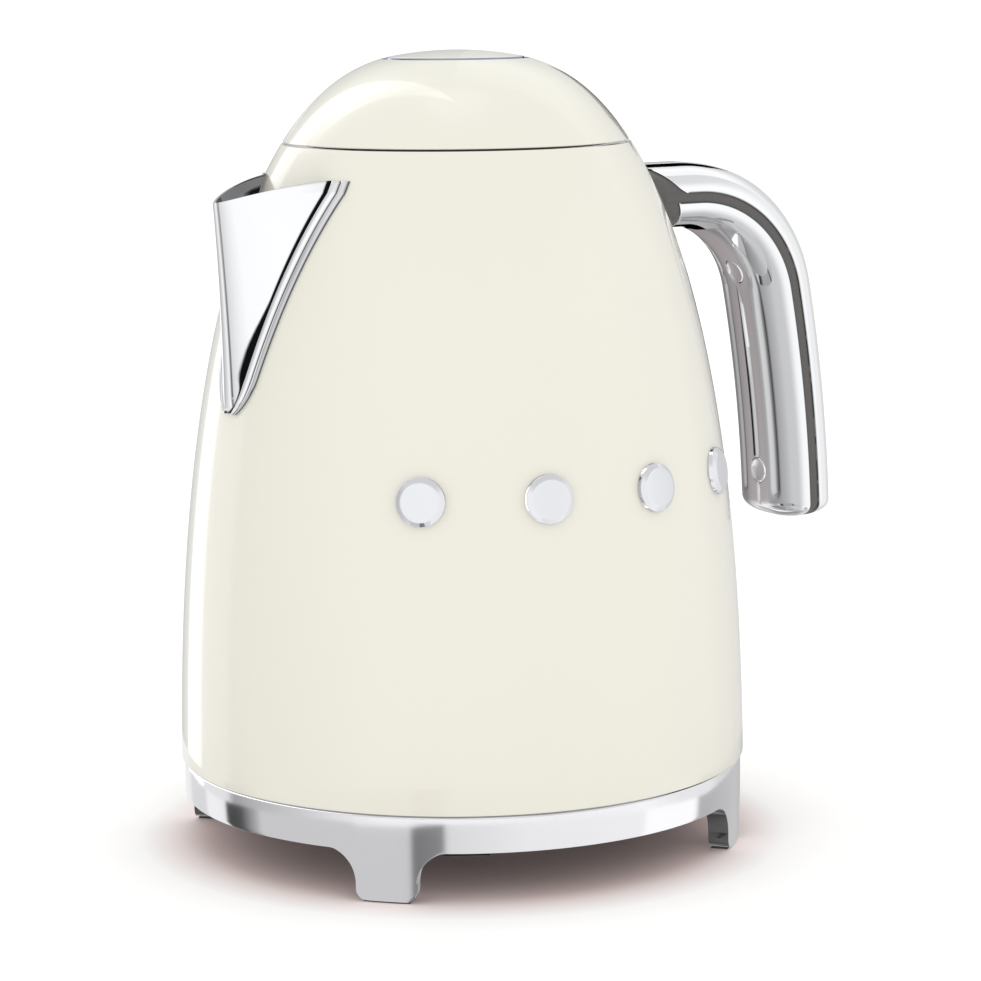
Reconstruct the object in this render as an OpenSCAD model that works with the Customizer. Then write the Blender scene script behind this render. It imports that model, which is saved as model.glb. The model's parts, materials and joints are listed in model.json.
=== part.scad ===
// Electric kettle with a domed lid, a folded chrome spout, a hooked chrome handle and a
// four-footed swivel base. Millimetres, +Z up. The origin is on the kettle's own axis, in the
// plane that the foot pads stand on. The spout points along -X and the handle along +X.

/* [Body] */
// Largest radius of the painted body
body_r = 88.3; // [86:0.1:91]
// Height at which the body's outline formula starts
outline_foot_z = 12.9; // [10:0.1:15]
// Height at which the body's outline formula closes on the axis
outline_top_z = 244.6; // [242:0.1:247]
// How long the body's side stays upright before it turns in
side_power = 2.21; // [2.1:0.01:2.4]
// How blunt the dome is
dome_power = 2.81; // [2.6:0.01:3]
// Thickness of the painted steel
wall_t = 1.0; // [0.8:0.1:1.2]
// Height of the body's lower edge
body_bottom_z = 26.7; // [26.5:0.1:27]
// Height of the seam under the lid
lid_seam_z = 217.1; // [216:0.1:218]

/* [Swivel base] */
// Outer radius of the chrome ring
ring_r = 87.4; // [86.5:0.1:88]
// Top edge of the chrome ring
ring_top_z = 26.0; // [25.6:0.1:26.2]
// Lower edge of the chrome ring between its feet
ring_bottom_z = 15.5; // [14:0.1:17]
// Width of a foot where it meets the pad
foot_w = 18.5; // [14:0.5:20]
// Radial depth of a foot
foot_t = 6.5; // [5.5:0.1:8]
// Thickness of a rubber foot pad
pad_t = 1.0; // [0.8:0.1:1.4]

/* [Spout] */
// Height of the spout's lowest point
spout_low_z = 138; // [134:1:142]
// Height of the pouring tip
spout_tip_z = 201.8; // [199:0.1:204]
// Height of the rim where it meets the body
spout_rim_z = 208.2; // [206:0.1:209]
// Distance of the pouring tip from the axis
spout_tip_x = 83.5; // [81:0.1:86]
// Half width of the spout's flange at its top
spout_half_w = 28; // [25:0.5:30]
// Width of the flange that lies on the body
flange_w = 6; // [5:0.1:6.5]
// Thickness of the spout's sheet
spout_t = 1.6; // [1.2:0.1:2]

/* [Handle] */
// Height of the handle's straight upper arm
handle_z = 197.1; // [196:0.1:198.5]
// Where the upper arm ends and the bend begins
bend_x = 80; // [79:0.5:82]
// Radius of the bend along the dark seam
bend_r = 38; // [36:0.5:39]
// Lean of the grip below the bend, in degrees
grip_top_lean = 11; // [10:0.5:13]
// Lean of the grip at its lower end, in degrees
grip_end_lean = 1.7; // [1.5:0.1:3]
// Radius of the long curve of the grip
grip_r = 480; // [440:10:520]
// Half width of the handle
handle_half_w = 17; // [16:0.5:18]
// Depth of the handle outside its dark seam
handle_out = 11.4; // [10.5:0.1:12]
// Depth of the handle inside its dark seam
handle_in = 10.3; // [9.8:0.1:11]
// Thickness of the dark seam plate
seam_t = 3.0; // [2.6:0.1:3.4]

/* [Lid] */
// Radius of the release button
button_r = 20.4; // [19:0.1:21]
// Height of the button's crown
crown_z = 244.8; // [244.4:0.1:246]
// How far the release button travels
button_travel = 2.5; // [2:0.1:3]

/* [Hidden] */
$fn = 96;

cream = [0.93, 0.91, 0.83];
chrome = [0.86, 0.87, 0.89];
steel = [0.72, 0.73, 0.75];
dark = [0.27, 0.26, 0.26];
black = [0.08, 0.08, 0.09];
rubber = [0.12, 0.12, 0.12];
brass = [0.78, 0.62, 0.30];
clear = [0.75, 0.85, 0.9, 0.5];
white = [0.9, 0.9, 0.88];

// Outline of the painted body and lid: radius at height z.
function height_share(z) = (z - outline_foot_z) / (outline_top_z - outline_foot_z);
function body_radius(z) = body_r * pow(1 - pow(height_share(z), side_power), 1 / dome_power);
// Heights that crowd together towards the top, where the outline turns fastest.
function heights(low, high, n) = [for (i = [0:n]) low + (high - low) * (1 - pow(1 - i / n, 1.4))];

// ---- Shared shapes ----

// Solid of the body's outline between two heights, moved out by grow.
module outline_solid(low, high, grow = 0, n = 20) {
    edge = [for (z = heights(low, high, n)) [body_radius(z) + grow, z]];
    rotate_extrude() polygon(concat([[0, low]], edge, [[0, high]]));
}

// Skin of the body's outline, from grow_in to grow_out.
module outline_skin(low, high, grow_in, grow_out, n = 20) {
    zs = heights(low, high, n);
    rotate_extrude()
        polygon(concat([for (z = zs) [body_radius(z) + grow_out, z]],
                       [for (i = [n:-1:0]) [body_radius(zs[i]) + grow_in, zs[i]]]));
}

module tube(r_out, r_in, low, high) {
    translate([0, 0, low])
        difference() {
            cylinder(r = r_out, h = high - low);
            translate([0, 0, -1]) cylinder(r = r_in, h = high - low + 2);
        }
}

module disc(r, low, high) {
    translate([0, 0, low]) cylinder(r = r, h = high - low);
}

module along_x(x, y, z) {
    translate([x, y, z]) rotate([0, 90, 0]) children();
}

module along_y(x, y, z) {
    translate([x, y, z]) rotate([-90, 0, 0]) children();
}

// Coil spring about Z: a swept ring of the wire.
module coil(r, wire, low, high, turns) {
    sides = 6;
    steps = 14;
    n = turns * steps;
    points = [for (i = [0:n]) for (k = [0:sides - 1])
        let (a = 360 * i / steps, b = 360 * k / sides, d = r + wire / 2 * cos(b))
            [d * cos(a), d * sin(a), low + wire / 2 + (high - low - wire) * i / n + wire / 2 * sin(b)]];
    sidewalls = [for (i = [0:n - 1]) for (k = [0:sides - 1])
        let (a = i * sides + k, b = i * sides + (k + 1) % sides)
            each [[a, b + sides, a + sides], [a, b, b + sides]]];
    ends = [[for (k = [sides - 1:-1:0]) k], [for (k = [0:sides - 1]) n * sides + k]];
    polyhedron(points, concat(sidewalls, ends));
}

// ---- Swivel base ----

tray_z = 20;
tray_t = 2;
connector_r = 16;
connector_top_z = 33;
spool_r = 40;
spool_low_z = 5;
ring_in_r = ring_r - 2.6;
ring_bevel = 0.6;
foot_r = ring_r - 0.6;
foot_flare = 10.5;
foot_corner = 3.2;
foot_azimuth = 43.8;
screw_circle_r = 32;

// Outline of one foot, seen from outside: a stump with rounded corners that flares into the ring.
module foot_outline() {
    low = pad_t - 0.4;
    top = ring_bottom_z + 2;
    flare_top = ring_bottom_z + 0.4;
    half_w = foot_w / 2;
    corner = [for (a = [-90:22.5:0]) [half_w - foot_corner * (1 - cos(a)), low + foot_corner * (1 + sin(a))]];
    flare = [for (a = [0:15:90]) [half_w + foot_flare * (1 - cos(a)), flare_top - foot_flare * (1 - sin(a))]];
    side = concat(corner, flare, [[half_w + foot_flare, top]]);
    polygon(concat(side, [for (i = [len(side) - 1:-1:0]) [-side[i][0], side[i][1]]]));
}

module at_feet() {
    for (i = [0:3]) rotate([0, 0, foot_azimuth + 90 * i]) children();
}

module base_ring() {
    shoulder_z = ring_top_z - ring_bevel;
    color(chrome) {
        difference() {
            union() {
                tube(ring_r, ring_in_r, ring_bottom_z, shoulder_z);
                rotate_extrude()
                    polygon([[ring_in_r, shoulder_z], [ring_r, shoulder_z], [ring_r - ring_bevel, ring_top_z],
                             [ring_in_r, ring_top_z]]);
                intersection() {
                    tube(ring_r - 0.1, ring_r - foot_t, 0, ring_bottom_z + 3);
                    at_feet()
                        translate([ring_r - 20, 0, 0]) rotate([90, 0, 90]) linear_extrude(30) foot_outline();
                }
            }
            at_feet() translate([foot_r - foot_t / 2, 0, -1]) cylinder(r = 1.3, h = 6);
        }
    }
}

module foot_pads() {
    pad_w = foot_w - 4.4;
    color(rubber)
        at_feet() {
            intersection() {
                tube(ring_r - 0.8, ring_r - foot_t + 0.4, 0, pad_t - 0.4);
                translate([ring_r - foot_t, -pad_w / 2, 0]) cube([foot_t, pad_w, 5]);
            }
            translate([foot_r - foot_t / 2, 0, pad_t - 0.5]) cylinder(r = 1.25, h = 3);
        }
}

module base_tray() {
    color(black)
        difference() {
            union() {
                disc(ring_in_r - 0.1, tray_z, tray_z + tray_t);
                tube(ring_in_r - 0.1, ring_in_r - 2.1, ring_bottom_z + 2.2, tray_z + 0.5);
                tube(connector_r + 4, connector_r + 0.2, tray_z, tray_z + 3.4);
                for (i = [0:3]) rotate([0, 0, 90 * i])
                    translate([screw_circle_r, 0, 0]) tube(3.2, 1.4, 17.4, tray_z + 0.5);
            }
            disc(connector_r + 0.2, tray_z - 1, tray_z + 4);
            for (a = [60, 180, 300])
                rotate([0, 0, a]) translate([70, 0, 0]) disc(2.5, tray_z - 1, tray_z + 3);
        }
}

module base_under_cover() {
    color(black)
        difference() {
            disc(ring_r - foot_t - 1, ring_bottom_z + 0.1, 17.2);
            for (i = [0:3]) rotate([0, 0, 90 * i]) translate([screw_circle_r, 0, 0]) disc(1.8, 14, 18);
        }
}

// Hub that the spare mains lead is wound on, with six lips that keep the turns in place.
module cord_spool() {
    color(black)
        difference() {
            union() {
                tube(spool_r, spool_r - 2, spool_low_z, ring_bottom_z + 0.1);
                for (i = [0:5])
                    rotate([0, 0, 60 * i]) translate([spool_r - 1, -7, spool_low_z]) cube([12, 14, 1.6]);
            }
            along_y(0, spool_r - 6, 8.3) cylinder(r = 4.05, h = 10);
        }
}

// Strain-relief gland in the spool's wall, where the mains lead leaves.
module cord_gland() {
    color(rubber)
        along_y(0, spool_r - 5, 8.3)
            difference() {
                union() {
                    cylinder(r = 4.0, h = 8);
                    cylinder(r = 5.6, h = 2.2);
                    translate([0, 0, 5.3]) cylinder(r1 = 5.0, r2 = 4.4, h = 2.7);
                }
                translate([0, 0, -1]) cylinder(r = 3.2, h = 12);
            }
}

module base_connector() {
    color(dark)
        difference() {
            union() {
                disc(connector_r, 17.4, connector_top_z);
                disc(connector_r + 2.8, 17.4, tray_z - 0.2);
            }
            tube(12.6, 10.6, 24, connector_top_z + 1);
            tube(8.2, 6.4, 24, connector_top_z + 1);
            disc(2.7, 20, connector_top_z + 1);
        }
}

module connector_contacts() {
    color(brass) {
        tube(11.9, 11.3, 24.1, connector_top_z - 1.5);
        tube(7.6, 7.0, 24.1, connector_top_z - 1.5);
        disc(1.6, 20.1, connector_top_z - 0.5);
    }
}

module base_screws() {
    color(steel)
        for (i = [0:3]) rotate([0, 0, 90 * i]) translate([screw_circle_r, 0, 0]) {
            disc(1.3, 15.4, 19.8);
            difference() {
                disc(2.8, 13.8, 15.5);
                translate([-0.4, -2, 13]) cube([0.8, 4, 1.4]);
            }
        }
}

// ---- Jug floor and controls ----

coupler_r = 21.5;
plate_z = 42;
cover_z = 22.4;
lever_x = 70;
lever_z = 35;
knob_r = 3.3;

module jug_coupler() {
    color(dark)
        difference() {
            union() {
                disc(coupler_r, 23.8, 37);
                disc(12, 36.9, 39.5);
            }
            disc(connector_r + 0.5, 23, connector_top_z + 0.5);
        }
}

module jug_bottom_cover() {
    color(black)
        difference() {
            union() {
                tube(83.6, 81.6, cover_z, 28);
                disc(83.6, 25.4, 27.4);
                tube(body_r - wall_t - 0.3, 82, 26.3, 28.4);
                tube(body_r - 1.4, 82, 26.3, body_bottom_z - 0.05);
                tube(coupler_r + 2.4, coupler_r + 0.3, 24.4, 30);
            }
            disc(coupler_r + 0.3, 20, 40);
            translate([60, -6, 27.6]) cube([40, 12, 10]);
        }
}

module heating_plate() {
    color(steel)
        difference() {
            union() {
                disc(84.6, plate_z, plate_z + 1.6);
                tube(84.6, 83.4, plate_z - 4, plate_z + 0.5);
            }
            translate([44, 28, 0]) disc(4.3, plate_z - 1, plate_z + 3);
        }
}

module plate_seal() {
    color(rubber)
        tube(body_radius(46) - wall_t - 0.25, 84.8, plate_z - 3, plate_z + 3);
}

module heating_element() {
    color(steel) {
        difference() {
            tube(60, 38, plate_z - 2.6, plate_z - 0.1);
            translate([20, -16, plate_z - 3]) cube([60, 32, 4]);
            translate([44, 28, 0]) disc(5.2, plate_z - 4, plate_z + 1);
        }
        translate([0, 0, plate_z - 5.6])
            rotate([0, 0, 45]) rotate_extrude(angle = 270) translate([52, 0]) circle(3.2, $fn = 24);
        for (a = [45, 315]) rotate([0, 0, a]) translate([52, 0, 30.8]) cylinder(r = 1.6, h = 6);
    }
}

module control_unit() {
    color(white)
        difference() {
            translate([-30, -24, 30.6]) cube([56, 48, 6]);
            disc(coupler_r + 0.8, 20, 40);
        }
}

module bimetal_discs() {
    color(brass)
        for (s = [-1, 1]) translate([-26.2, 17 * s, 0]) disc(5.6, 36.8, 37.8);
}

module steam_tube() {
    color(white)
        translate([44, 28, 0]) {
            tube(3.9, 2.7, 31, 205);
            tube(6.5, 3.7, plate_z + 1.8, plate_z + 5);
        }
}

module lever_bracket() {
    color(dark)
        difference() {
            translate([lever_x - 9, -9, 27.4]) cube([13, 18, 11.1]);
            translate([lever_x - 10, -5, 29.6]) cube([15, 10, 11]);
            along_y(lever_x, -12, lever_z) cylinder(r = 1.6, h = 24);
        }
}

module lever_pin() {
    color(steel) along_y(lever_x, -9.5, lever_z) cylinder(r = 1.5, h = 19);
}

// ---- Power lever, which tips about the pin ----

module power_lever() {
    color(chrome)
        difference() {
            union() {
                along_y(lever_x, -4.6, lever_z) cylinder(r = 3.4, h = 9.2);
                translate([lever_x, -3, lever_z - 1.4]) cube([23, 6, 2.8]);
                translate([lever_x - 8, -2, lever_z - 1.2]) cube([8, 4, 2.4]);
            }
            along_y(lever_x, -12, lever_z) cylinder(r = 1.55, h = 24);
        }
}

module lever_knob() {
    color(chrome)
        difference() {
            union() {
                along_y(lever_x + 24, -4, lever_z) cylinder(r = knob_r, h = 8);
                for (s = [-1, 1]) translate([lever_x + 24, 4 * s, lever_z]) sphere(knob_r);
            }
            translate([lever_x + 15, -3, lever_z - 1.4]) cube([8, 6, 2.8]);
        }
}

// ---- Painted body ----

window_low_z = 66;
window_high_z = 150;
window_w = 9;
stud_r = 7.2;
stud_z = 118;
stud_step = 25.9;

// Prism through the rear of the body from an outline in Y and Z.
module rear_prism() {
    translate([60, 0, 0]) rotate([90, 0, 90]) linear_extrude(60) children();
}

// Wedge-shaped hole in the body behind the spout.
module spout_hole() {
    low = spout_low_z + 16;
    high = spout_tip_z + 0.2;
    translate([-100, 0, 0]) rotate([90, 0, 90]) linear_extrude(60)
        polygon([[3, low], [18, high], [-18, high], [-3, low]]);
}

// The four places round the belly's -Y side where a plain stud sits.
module at_studs() {
    for (i = [-1.5:1.5]) rotate([0, 0, i * stud_step - 90]) translate([0, 0, stud_z]) children();
}

module body_shell() {
    color(cream)
        difference() {
            outline_skin(body_bottom_z, lid_seam_z - 0.2, -wall_t, 0, 22);
            spout_hole();
            rear_prism() square_slot(window_w, window_low_z, window_high_z);
            translate([80, -4, 28.5]) cube([20, 8, 13]);
            at_bracket_screws(50) cylinder(r = 2.3, h = 30);
            along_x(50, 0, handle_z - 7) cylinder(r = 3, h = 30);
            translate([48, -barrel_w - 0.4, lid_seam_z - 4.5]) cube([10, 2 * barrel_w + 0.8, 10]);
            at_studs() along_x(70, 0, 0) cylinder(r = 1.2, h = 30);
        }
}

// Slot with square ends, so its edges stay exact planes.
module square_slot(w, low, high, grow = 0) {
    translate([-w / 2 - grow, low - grow]) square([w + 2 * grow, high - low + 2 * grow]);
}

module badge_studs() {
    lean = atan((body_radius(stud_z - 5) - body_radius(stud_z + 5)) / 10);
    color(chrome)
        at_studs()
            translate([body_radius(stud_z), 0, 0]) rotate([0, 90 - lean, 0]) {
                translate([0, 0, 0.45]) cylinder(r = stud_r, h = 1.2);
                translate([0, 0, 1.65]) cylinder(r1 = stud_r, r2 = stud_r - 1.4, h = 0.9);
                translate([0, 0, -3]) cylinder(r = 0.9, h = 3.6);
            }
}

module water_window() {
    color(clear)
        intersection() {
            outline_skin(window_low_z - 4, window_high_z + 4, -2.6, 0.3, 10);
            rear_prism() square_slot(window_w, window_low_z, window_high_z, -0.15);
        }
}

module window_frame() {
    color(chrome)
        intersection() {
            outline_skin(window_low_z - 4, window_high_z + 4, 0.15, 1.3, 10);
            rear_prism() difference() {
                square_slot(window_w, window_low_z, window_high_z, 2);
                square_slot(window_w, window_low_z, window_high_z, 0.1);
            }
        }
}

// ---- Spout ----

bead_h = 2.4;
flange_low_half = 9.2;
lip_rise_power = 1.5;

// Half width of the flange's outer edge at share t of the way up; it closes in a round point below.
function flange_half(t) =
    (flange_low_half + (spout_half_w - flange_low_half) * t)
    * (t < 0.18 ? sqrt(max(0.02, 1 - pow(1 - t / 0.18, 2))) : 1)
    - (t > 0.95 ? (t - 0.95) * 24 : 0);
// Height of the body end and of the nose end of a section at share t.
function body_end_z(t) = spout_low_z + (spout_rim_z - spout_low_z) * t;
function nose_end_z(t) = spout_low_z + 2 + (spout_tip_z - spout_low_z - 2) * t;
// Distance of the nose from the axis.
function nose_x(t) = max(body_radius(nose_end_z(t)) + 2.2, spout_tip_x - 2.4 * (1 - t * t));

// A point at radius grow outside the body, half width y, share t up.
function on_body(y, t, grow) =
    let (r = body_radius(body_end_z(t)) + grow) [-sqrt(r * r - y * y), y, body_end_z(t)];

// Half section from the flange's edge to the nose, as points (x, y, z) with y >= 0: the edge on
// the body, the rolled border, the valley beside it, and the bowed side wall that ends at the nose.
// inner = 0 gives the outside and 1 the inside.
function half_section(t, inner) =
    let (edge = flange_half(t),
         valley = max(0.55 * edge, edge - flange_w),
         band = edge - valley,
         foot = on_body(valley - inner * min(spout_t, valley * 0.4), t, inner ? 0.25 : 0.8),
         tip = [-nose_x(t) + inner * spout_t, 0, nose_end_z(t)])
    concat(
        [for (b = [[0, 0.8], [0.5, bead_h - 0.9], [0.75, bead_h]])
            on_body(edge - b[0] * band, t, inner ? 0.2 : b[1])],
        [for (f = [1, 0.82, 0.64, 0.48, 0.34, 0.22, 0.12, 0.05, 0])
            let (g = pow(f, lip_rise_power), rise = 1.6 * g - 0.6 * g * g)
                [tip[0] + (foot[0] - tip[0]) * g, foot[1] * f, tip[2] + (foot[2] - tip[2]) * rise]]);

module spout() {
    n = 20;
    ts = [for (i = [0:n]) 0.012 + 0.988 * pow(i / n, 1.15)];
    // One closed loop of points per level: outside from +Y round the nose to -Y, then back inside.
    rings = [for (t = ts)
        let (o = half_section(t, 0), q = half_section(t, 1), m = len(o))
            concat(o, [for (k = [m - 2:-1:0]) [o[k][0], -o[k][1], o[k][2]]],
                   [for (k = [0:m - 1]) [q[k][0], -q[k][1], q[k][2]]], [for (k = [m - 2:-1:0]) q[k]])];
    c = len(rings[0]);
    side = [for (i = [0:n - 1]) for (k = [0:c - 1])
        let (a = i * c + k, b = i * c + (k + 1) % c) each [[a, b + c, b], [a, a + c, b + c]]];
    h = c / 2;
    cap = [for (k = [0:h - 2]) each [[k, k + 1, c - 2 - k], [k, c - 2 - k, c - 1 - k]]];
    top = n * c;
    color(chrome)
        polyhedron([for (r = rings) each r],
            concat(side, cap, [for (f = cap) [top + f[2], top + f[1], top + f[0]]]));
}

filter_low = [-70, 150];
filter_high = [-53.5, 200];
filter_lean = atan2(filter_high[0] - filter_low[0], filter_high[1] - filter_low[1]);
filter_len = norm(filter_high - filter_low);

module filter_place() {
    translate([filter_low[0], 0, filter_low[1]]) rotate([0, filter_lean, 0]) rotate([90, 0, 90]) children();
}

module filter_outline(grow = 0) {
    low = 6 + grow;
    high = 17 + grow;
    polygon([[-low, -grow], [low, -grow], [high, filter_len + grow], [-high, filter_len + grow]]);
}

module spout_filter_frame() {
    color(white)
        filter_place() {
            linear_extrude(2.4) difference() {
                filter_outline(0);
                filter_outline(-2.6);
            }
        }
}

module filter_mesh() {
    pitch = 3.2;
    color(steel)
        filter_place() translate([0, 0, 1]) linear_extrude(0.5) difference() {
            filter_outline(-2.8);
            for (j = [1:14]) for (i = [-5:5])
                if (abs(i) * pitch < 1.2 + 0.2 * j * pitch)
                    translate([i * pitch, 1.6 + j * pitch]) circle(1.1, $fn = 16);
        }
}

// ---- Neck, hinge and lid ----

neck_r = 44;
hinge_x = 53;
hinge_z = 218.5;
barrel_r = 2.1;
barrel_w = 6.4;
middle_w = 3.4;
pin_r = 0.8;

module neck_ring() {
    color(dark)
        difference() {
            union() {
                tube(body_radius(lid_seam_z - 1) - wall_t - 0.4, neck_r, lid_seam_z - 3, lid_seam_z - 1);
                tube(neck_r + 2.4, neck_r, lid_seam_z - 9, lid_seam_z - 1);
            }
            translate([neck_r + 2.5, -barrel_w - 0.4, lid_seam_z - 4.3]) cube([12, 2 * barrel_w + 0.8, 6]);
        }
}

// Two outer knuckles on a strap that reaches in through the notch in the body's rim.
module hinge_bracket() {
    knuckle = barrel_w - middle_w - 0.2;
    color(dark)
        difference() {
            union() {
                translate([neck_r + 2.6, -barrel_w, lid_seam_z - 4.2])
                    cube([hinge_x - neck_r - 1, 2 * barrel_w, 1.8]);
                for (y = [-barrel_w, barrel_w - knuckle]) {
                    translate([hinge_x - 2, y, lid_seam_z - 4]) cube([3.6, knuckle, 4]);
                    along_y(hinge_x, y, hinge_z) cylinder(r = barrel_r, h = knuckle);
                }
            }
            along_y(hinge_x, -12, hinge_z) cylinder(r = pin_r + 0.01, h = 24);
        }
}

module hinge_pin() {
    color(steel) along_y(hinge_x, -barrel_w - 0.4, hinge_z) cylinder(r = pin_r, h = 2 * barrel_w + 0.8);
}

// Small coil round the pin, in the counterbore of the middle knuckle.
module hinge_spring() {
    color(steel) along_y(hinge_x, -middle_w, hinge_z) coil(1.15, 0.35, 0.1, 2.1, 3);
}

lid_low_z = lid_seam_z + 0.2;
carrier_r = 50.4;
cup_r = neck_r - 1.2;
cup_low_z = lid_seam_z - 7;
bolt_z = lid_seam_z - 4.3;
stem_r = 5.1;
nose_r = 1.6;
spring_low_z = 229;
button_rim_z = 242.9;
button_hole_r = button_r + 0.9;
button_floor_z = button_rim_z - 1.6;
plunger_z = button_rim_z - 3.4;

module at_lid_screws() {
    for (a = [0, 120, 240]) rotate([0, 0, a]) translate([30, 0, 0]) children();
}

module lid_shell() {
    lid_top = 242.65;
    color(cream)
        difference() {
            outline_skin(lid_low_z, lid_top, -1.2, 0, 14);
            disc(button_hole_r, lid_low_z - 5, crown_z);
            translate([46, -barrel_w - 0.5, lid_low_z - 1]) cube([12, 2 * barrel_w + 1, 4.8]);
        }
}

module button_bezel() {
    low = button_rim_z - 5.6;
    top = button_rim_z - 0.2;
    in_r = button_r + 0.25;
    out_r = button_r + 0.8;
    color(chrome)
        rotate_extrude()
            polygon([[in_r, low], [out_r, low], [out_r, top - 0.2], [out_r - 0.2, top], [in_r, top]]);
}

// Flat plate under the dome, with the button's guide tube and the screw bosses.
module lid_carrier() {
    color(dark)
        difference() {
            union() {
                disc(carrier_r, lid_low_z + 0.2, lid_low_z + 2.2);
                tube(8.4, stem_r + 0.3, lid_low_z + 2, spring_low_z);
                at_lid_screws() tube(3, 1.3, lid_low_z + 2, 228);
            }
            disc(stem_r + 0.3, lid_low_z - 1, 240);
            at_lid_screws() disc(1.3, lid_low_z - 1, 225);
        }
}

// Cup that closes the neck: a pan and a skirt with the bolt's window at the front.
module lid_inner_cover() {
    color(dark)
        difference() {
            union() {
                tube(cup_r, cup_r - 2, cup_low_z, lid_low_z + 0.2);
                disc(cup_r, cup_low_z, cup_low_z + 1.6);
                at_lid_screws() tube(3, 1.3, cup_low_z + 1, lid_low_z + 0.2);
            }
            at_lid_screws() disc(1.3, cup_low_z - 1, 225);
            translate([-60, -4.4, bolt_z - 0.4]) cube([30, 8.8, 3.8]);
        }
}

module lid_gasket() {
    color(rubber) tube(neck_r + 3, cup_r + 0.2, lid_seam_z - 0.75, lid_low_z + 0.2);
}

// Strap screwed to the carrier, with the middle knuckle on its end.
module lid_hinge_arm() {
    color(dark)
        difference() {
            union() {
                translate([36, -middle_w, lid_low_z + 2.2]) cube([hinge_x - 37.2, 2 * middle_w, 1.4]);
                along_y(hinge_x, -middle_w, hinge_z) cylinder(r = barrel_r, h = 2 * middle_w);
            }
            along_y(hinge_x, -12, hinge_z) cylinder(r = pin_r + 0.05, h = 24);
            along_y(hinge_x, -middle_w - 1, hinge_z) cylinder(r = 1.45, h = 3.3);
        }
}

module lid_screws() {
    color(steel)
        at_lid_screws() {
            disc(1.25, cup_low_z - 0.1, 226);
            disc(2.6, cup_low_z - 1.1, cup_low_z);
        }
}

module lid_button() {
    rise = crown_z - button_rim_z;
    dome = [for (f = [1:-0.2:0]) [f * (button_r - 0.4), button_rim_z + rise * (1 - f * f)]];
    in_r = button_r - 1.8;
    rim = [[0, button_floor_z], [in_r, button_floor_z], [in_r, plunger_z], [button_r, plunger_z],
           [button_r, button_rim_z - 0.4]];
    color(cream) rotate_extrude() polygon(concat(rim, dome));
}

// Plunger under the button; its thin nose works the bolt.
module button_stem() {
    color(white) {
        disc(stem_r, lid_low_z + 3, button_floor_z - 0.2);
        disc(12, plunger_z + 0.1, button_floor_z);
        disc(nose_r, lid_seam_z - 2.6, lid_low_z + 4);
    }
}

module button_spring() {
    color(steel) coil(6.9, 0.8, spring_low_z + 0.1, plunger_z, 5);
}

// Bolt that the stem draws back: its nose points at the front of the neck.
module lid_latch() {
    color(white)
        difference() {
            translate([-neck_r + 0.6, -4, bolt_z]) cube([neck_r + 6, 8, 3]);
            translate([-nose_r - button_travel - 0.4, -nose_r - 0.3, bolt_z - 1])
                cube([2 * nose_r + button_travel + 0.7, 2 * nose_r + 0.6, 5]);
        }
}

// ---- Handle ----

bend_c = [bend_x, handle_z - bend_r];
grip_c = bend_c + (bend_r - grip_r) * [cos(grip_top_lean), sin(grip_top_lean)];
round_power = 2.5;
// Edge between the collar and the outer shell, as x and height above the seam.
shoulder_edge = [[56, 15.4], [63.8, 9.6], [67.6, 6.9], [70.2, 4.6], [72.2, 2.7], [74.5, 1.45]];
// Edge between the collar and the inner shell, below the seam.
throat_edge = [[71.3, -1.45], [75.5, -12.2]];
shell_t = 1.8;
groove_y = 8.4;
groove_r = 2.4;

// Stations along the seam's middle line: x, z, and the angle that points outwards.
function on_bend(a) = [bend_c[0] + bend_r * cos(a), bend_c[1] + bend_r * sin(a), a];
function on_grip(a) = [grip_c[0] + grip_r * cos(a), grip_c[1] + grip_r * sin(a), a];
function handle_line(start_x, end_lean) = concat([[start_x, handle_z, 90]],
    [for (i = [0:12]) on_bend(90 + (grip_top_lean - 90) * i / 12)],
    [for (i = [1:6]) on_grip(grip_top_lean + (end_lean - grip_top_lean) * i / 6)]);

// Half of the handle's rounded section as points: depth d on one side of the seam, half width w.
function blunt(v) = sign(v) * pow(abs(v), 2 / round_power);
function half_round(d, w, side, base) =
    [for (a = [0:12:180]) [side * max(base, d * blunt(sin(a))), w * blunt(cos(a))]];

// Solid that carries a section (outwards, across) along a line of stations.
module sweep(section, line) {
    n = len(section);
    last = len(line) - 1;
    points = [for (s = line) for (p = section) [s[0] + p[0] * cos(s[2]), p[1], s[1] + p[0] * sin(s[2])]];
    sides = [for (i = [0:last - 1]) for (k = [0:n - 1])
        let (a = i * n + k, b = i * n + (k + 1) % n) each [[a, a + n, b + n], [a, b + n, b]]];
    polyhedron(points, concat(sides, [[for (k = [0:n - 1]) k]], [[for (k = [n - 1:-1:0]) last * n + k]]));
}

// One half of the handle's casing: outside skin less the hollow, open towards the seam.
module handle_half(d, side, start_x) {
    flip = side > 0 ? 1 : -1;
    outside = half_round(d, handle_half_w, side, seam_t / 2 + 0.05);
    inside = half_round(d - shell_t, handle_half_w - shell_t, side, seam_t / 2 - 0.8);
    difference() {
        sweep(ordered(outside, flip), handle_line(start_x, grip_end_lean));
        sweep(ordered(inside, flip), handle_line(start_x - 3, grip_end_lean + 0.25));
    }
}

// The list as it is, or turned round where the section is mirrored.
function ordered(list, flip) = flip > 0 ? list : [for (i = [len(list) - 1:-1:0]) list[i]];

module body_clearance(grow) {
    outline_solid(handle_z - 30, lid_seam_z, grow, 8);
}

// Prism right across the handle from an outline in x and height above the seam.
module side_prism() {
    translate([0, 40, handle_z]) rotate([90, 0, 0]) linear_extrude(80) children();
}

module handle_outer_shell() {
    color(chrome)
        difference() {
            handle_half(handle_out, 1, 58);
            body_clearance(0.3);
            side_prism() translate([0.1, 0.1])
                polygon(concat([[40, -20], [40, 15.4]], shoulder_edge, [[74.5, -20]]));
        }
}

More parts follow.
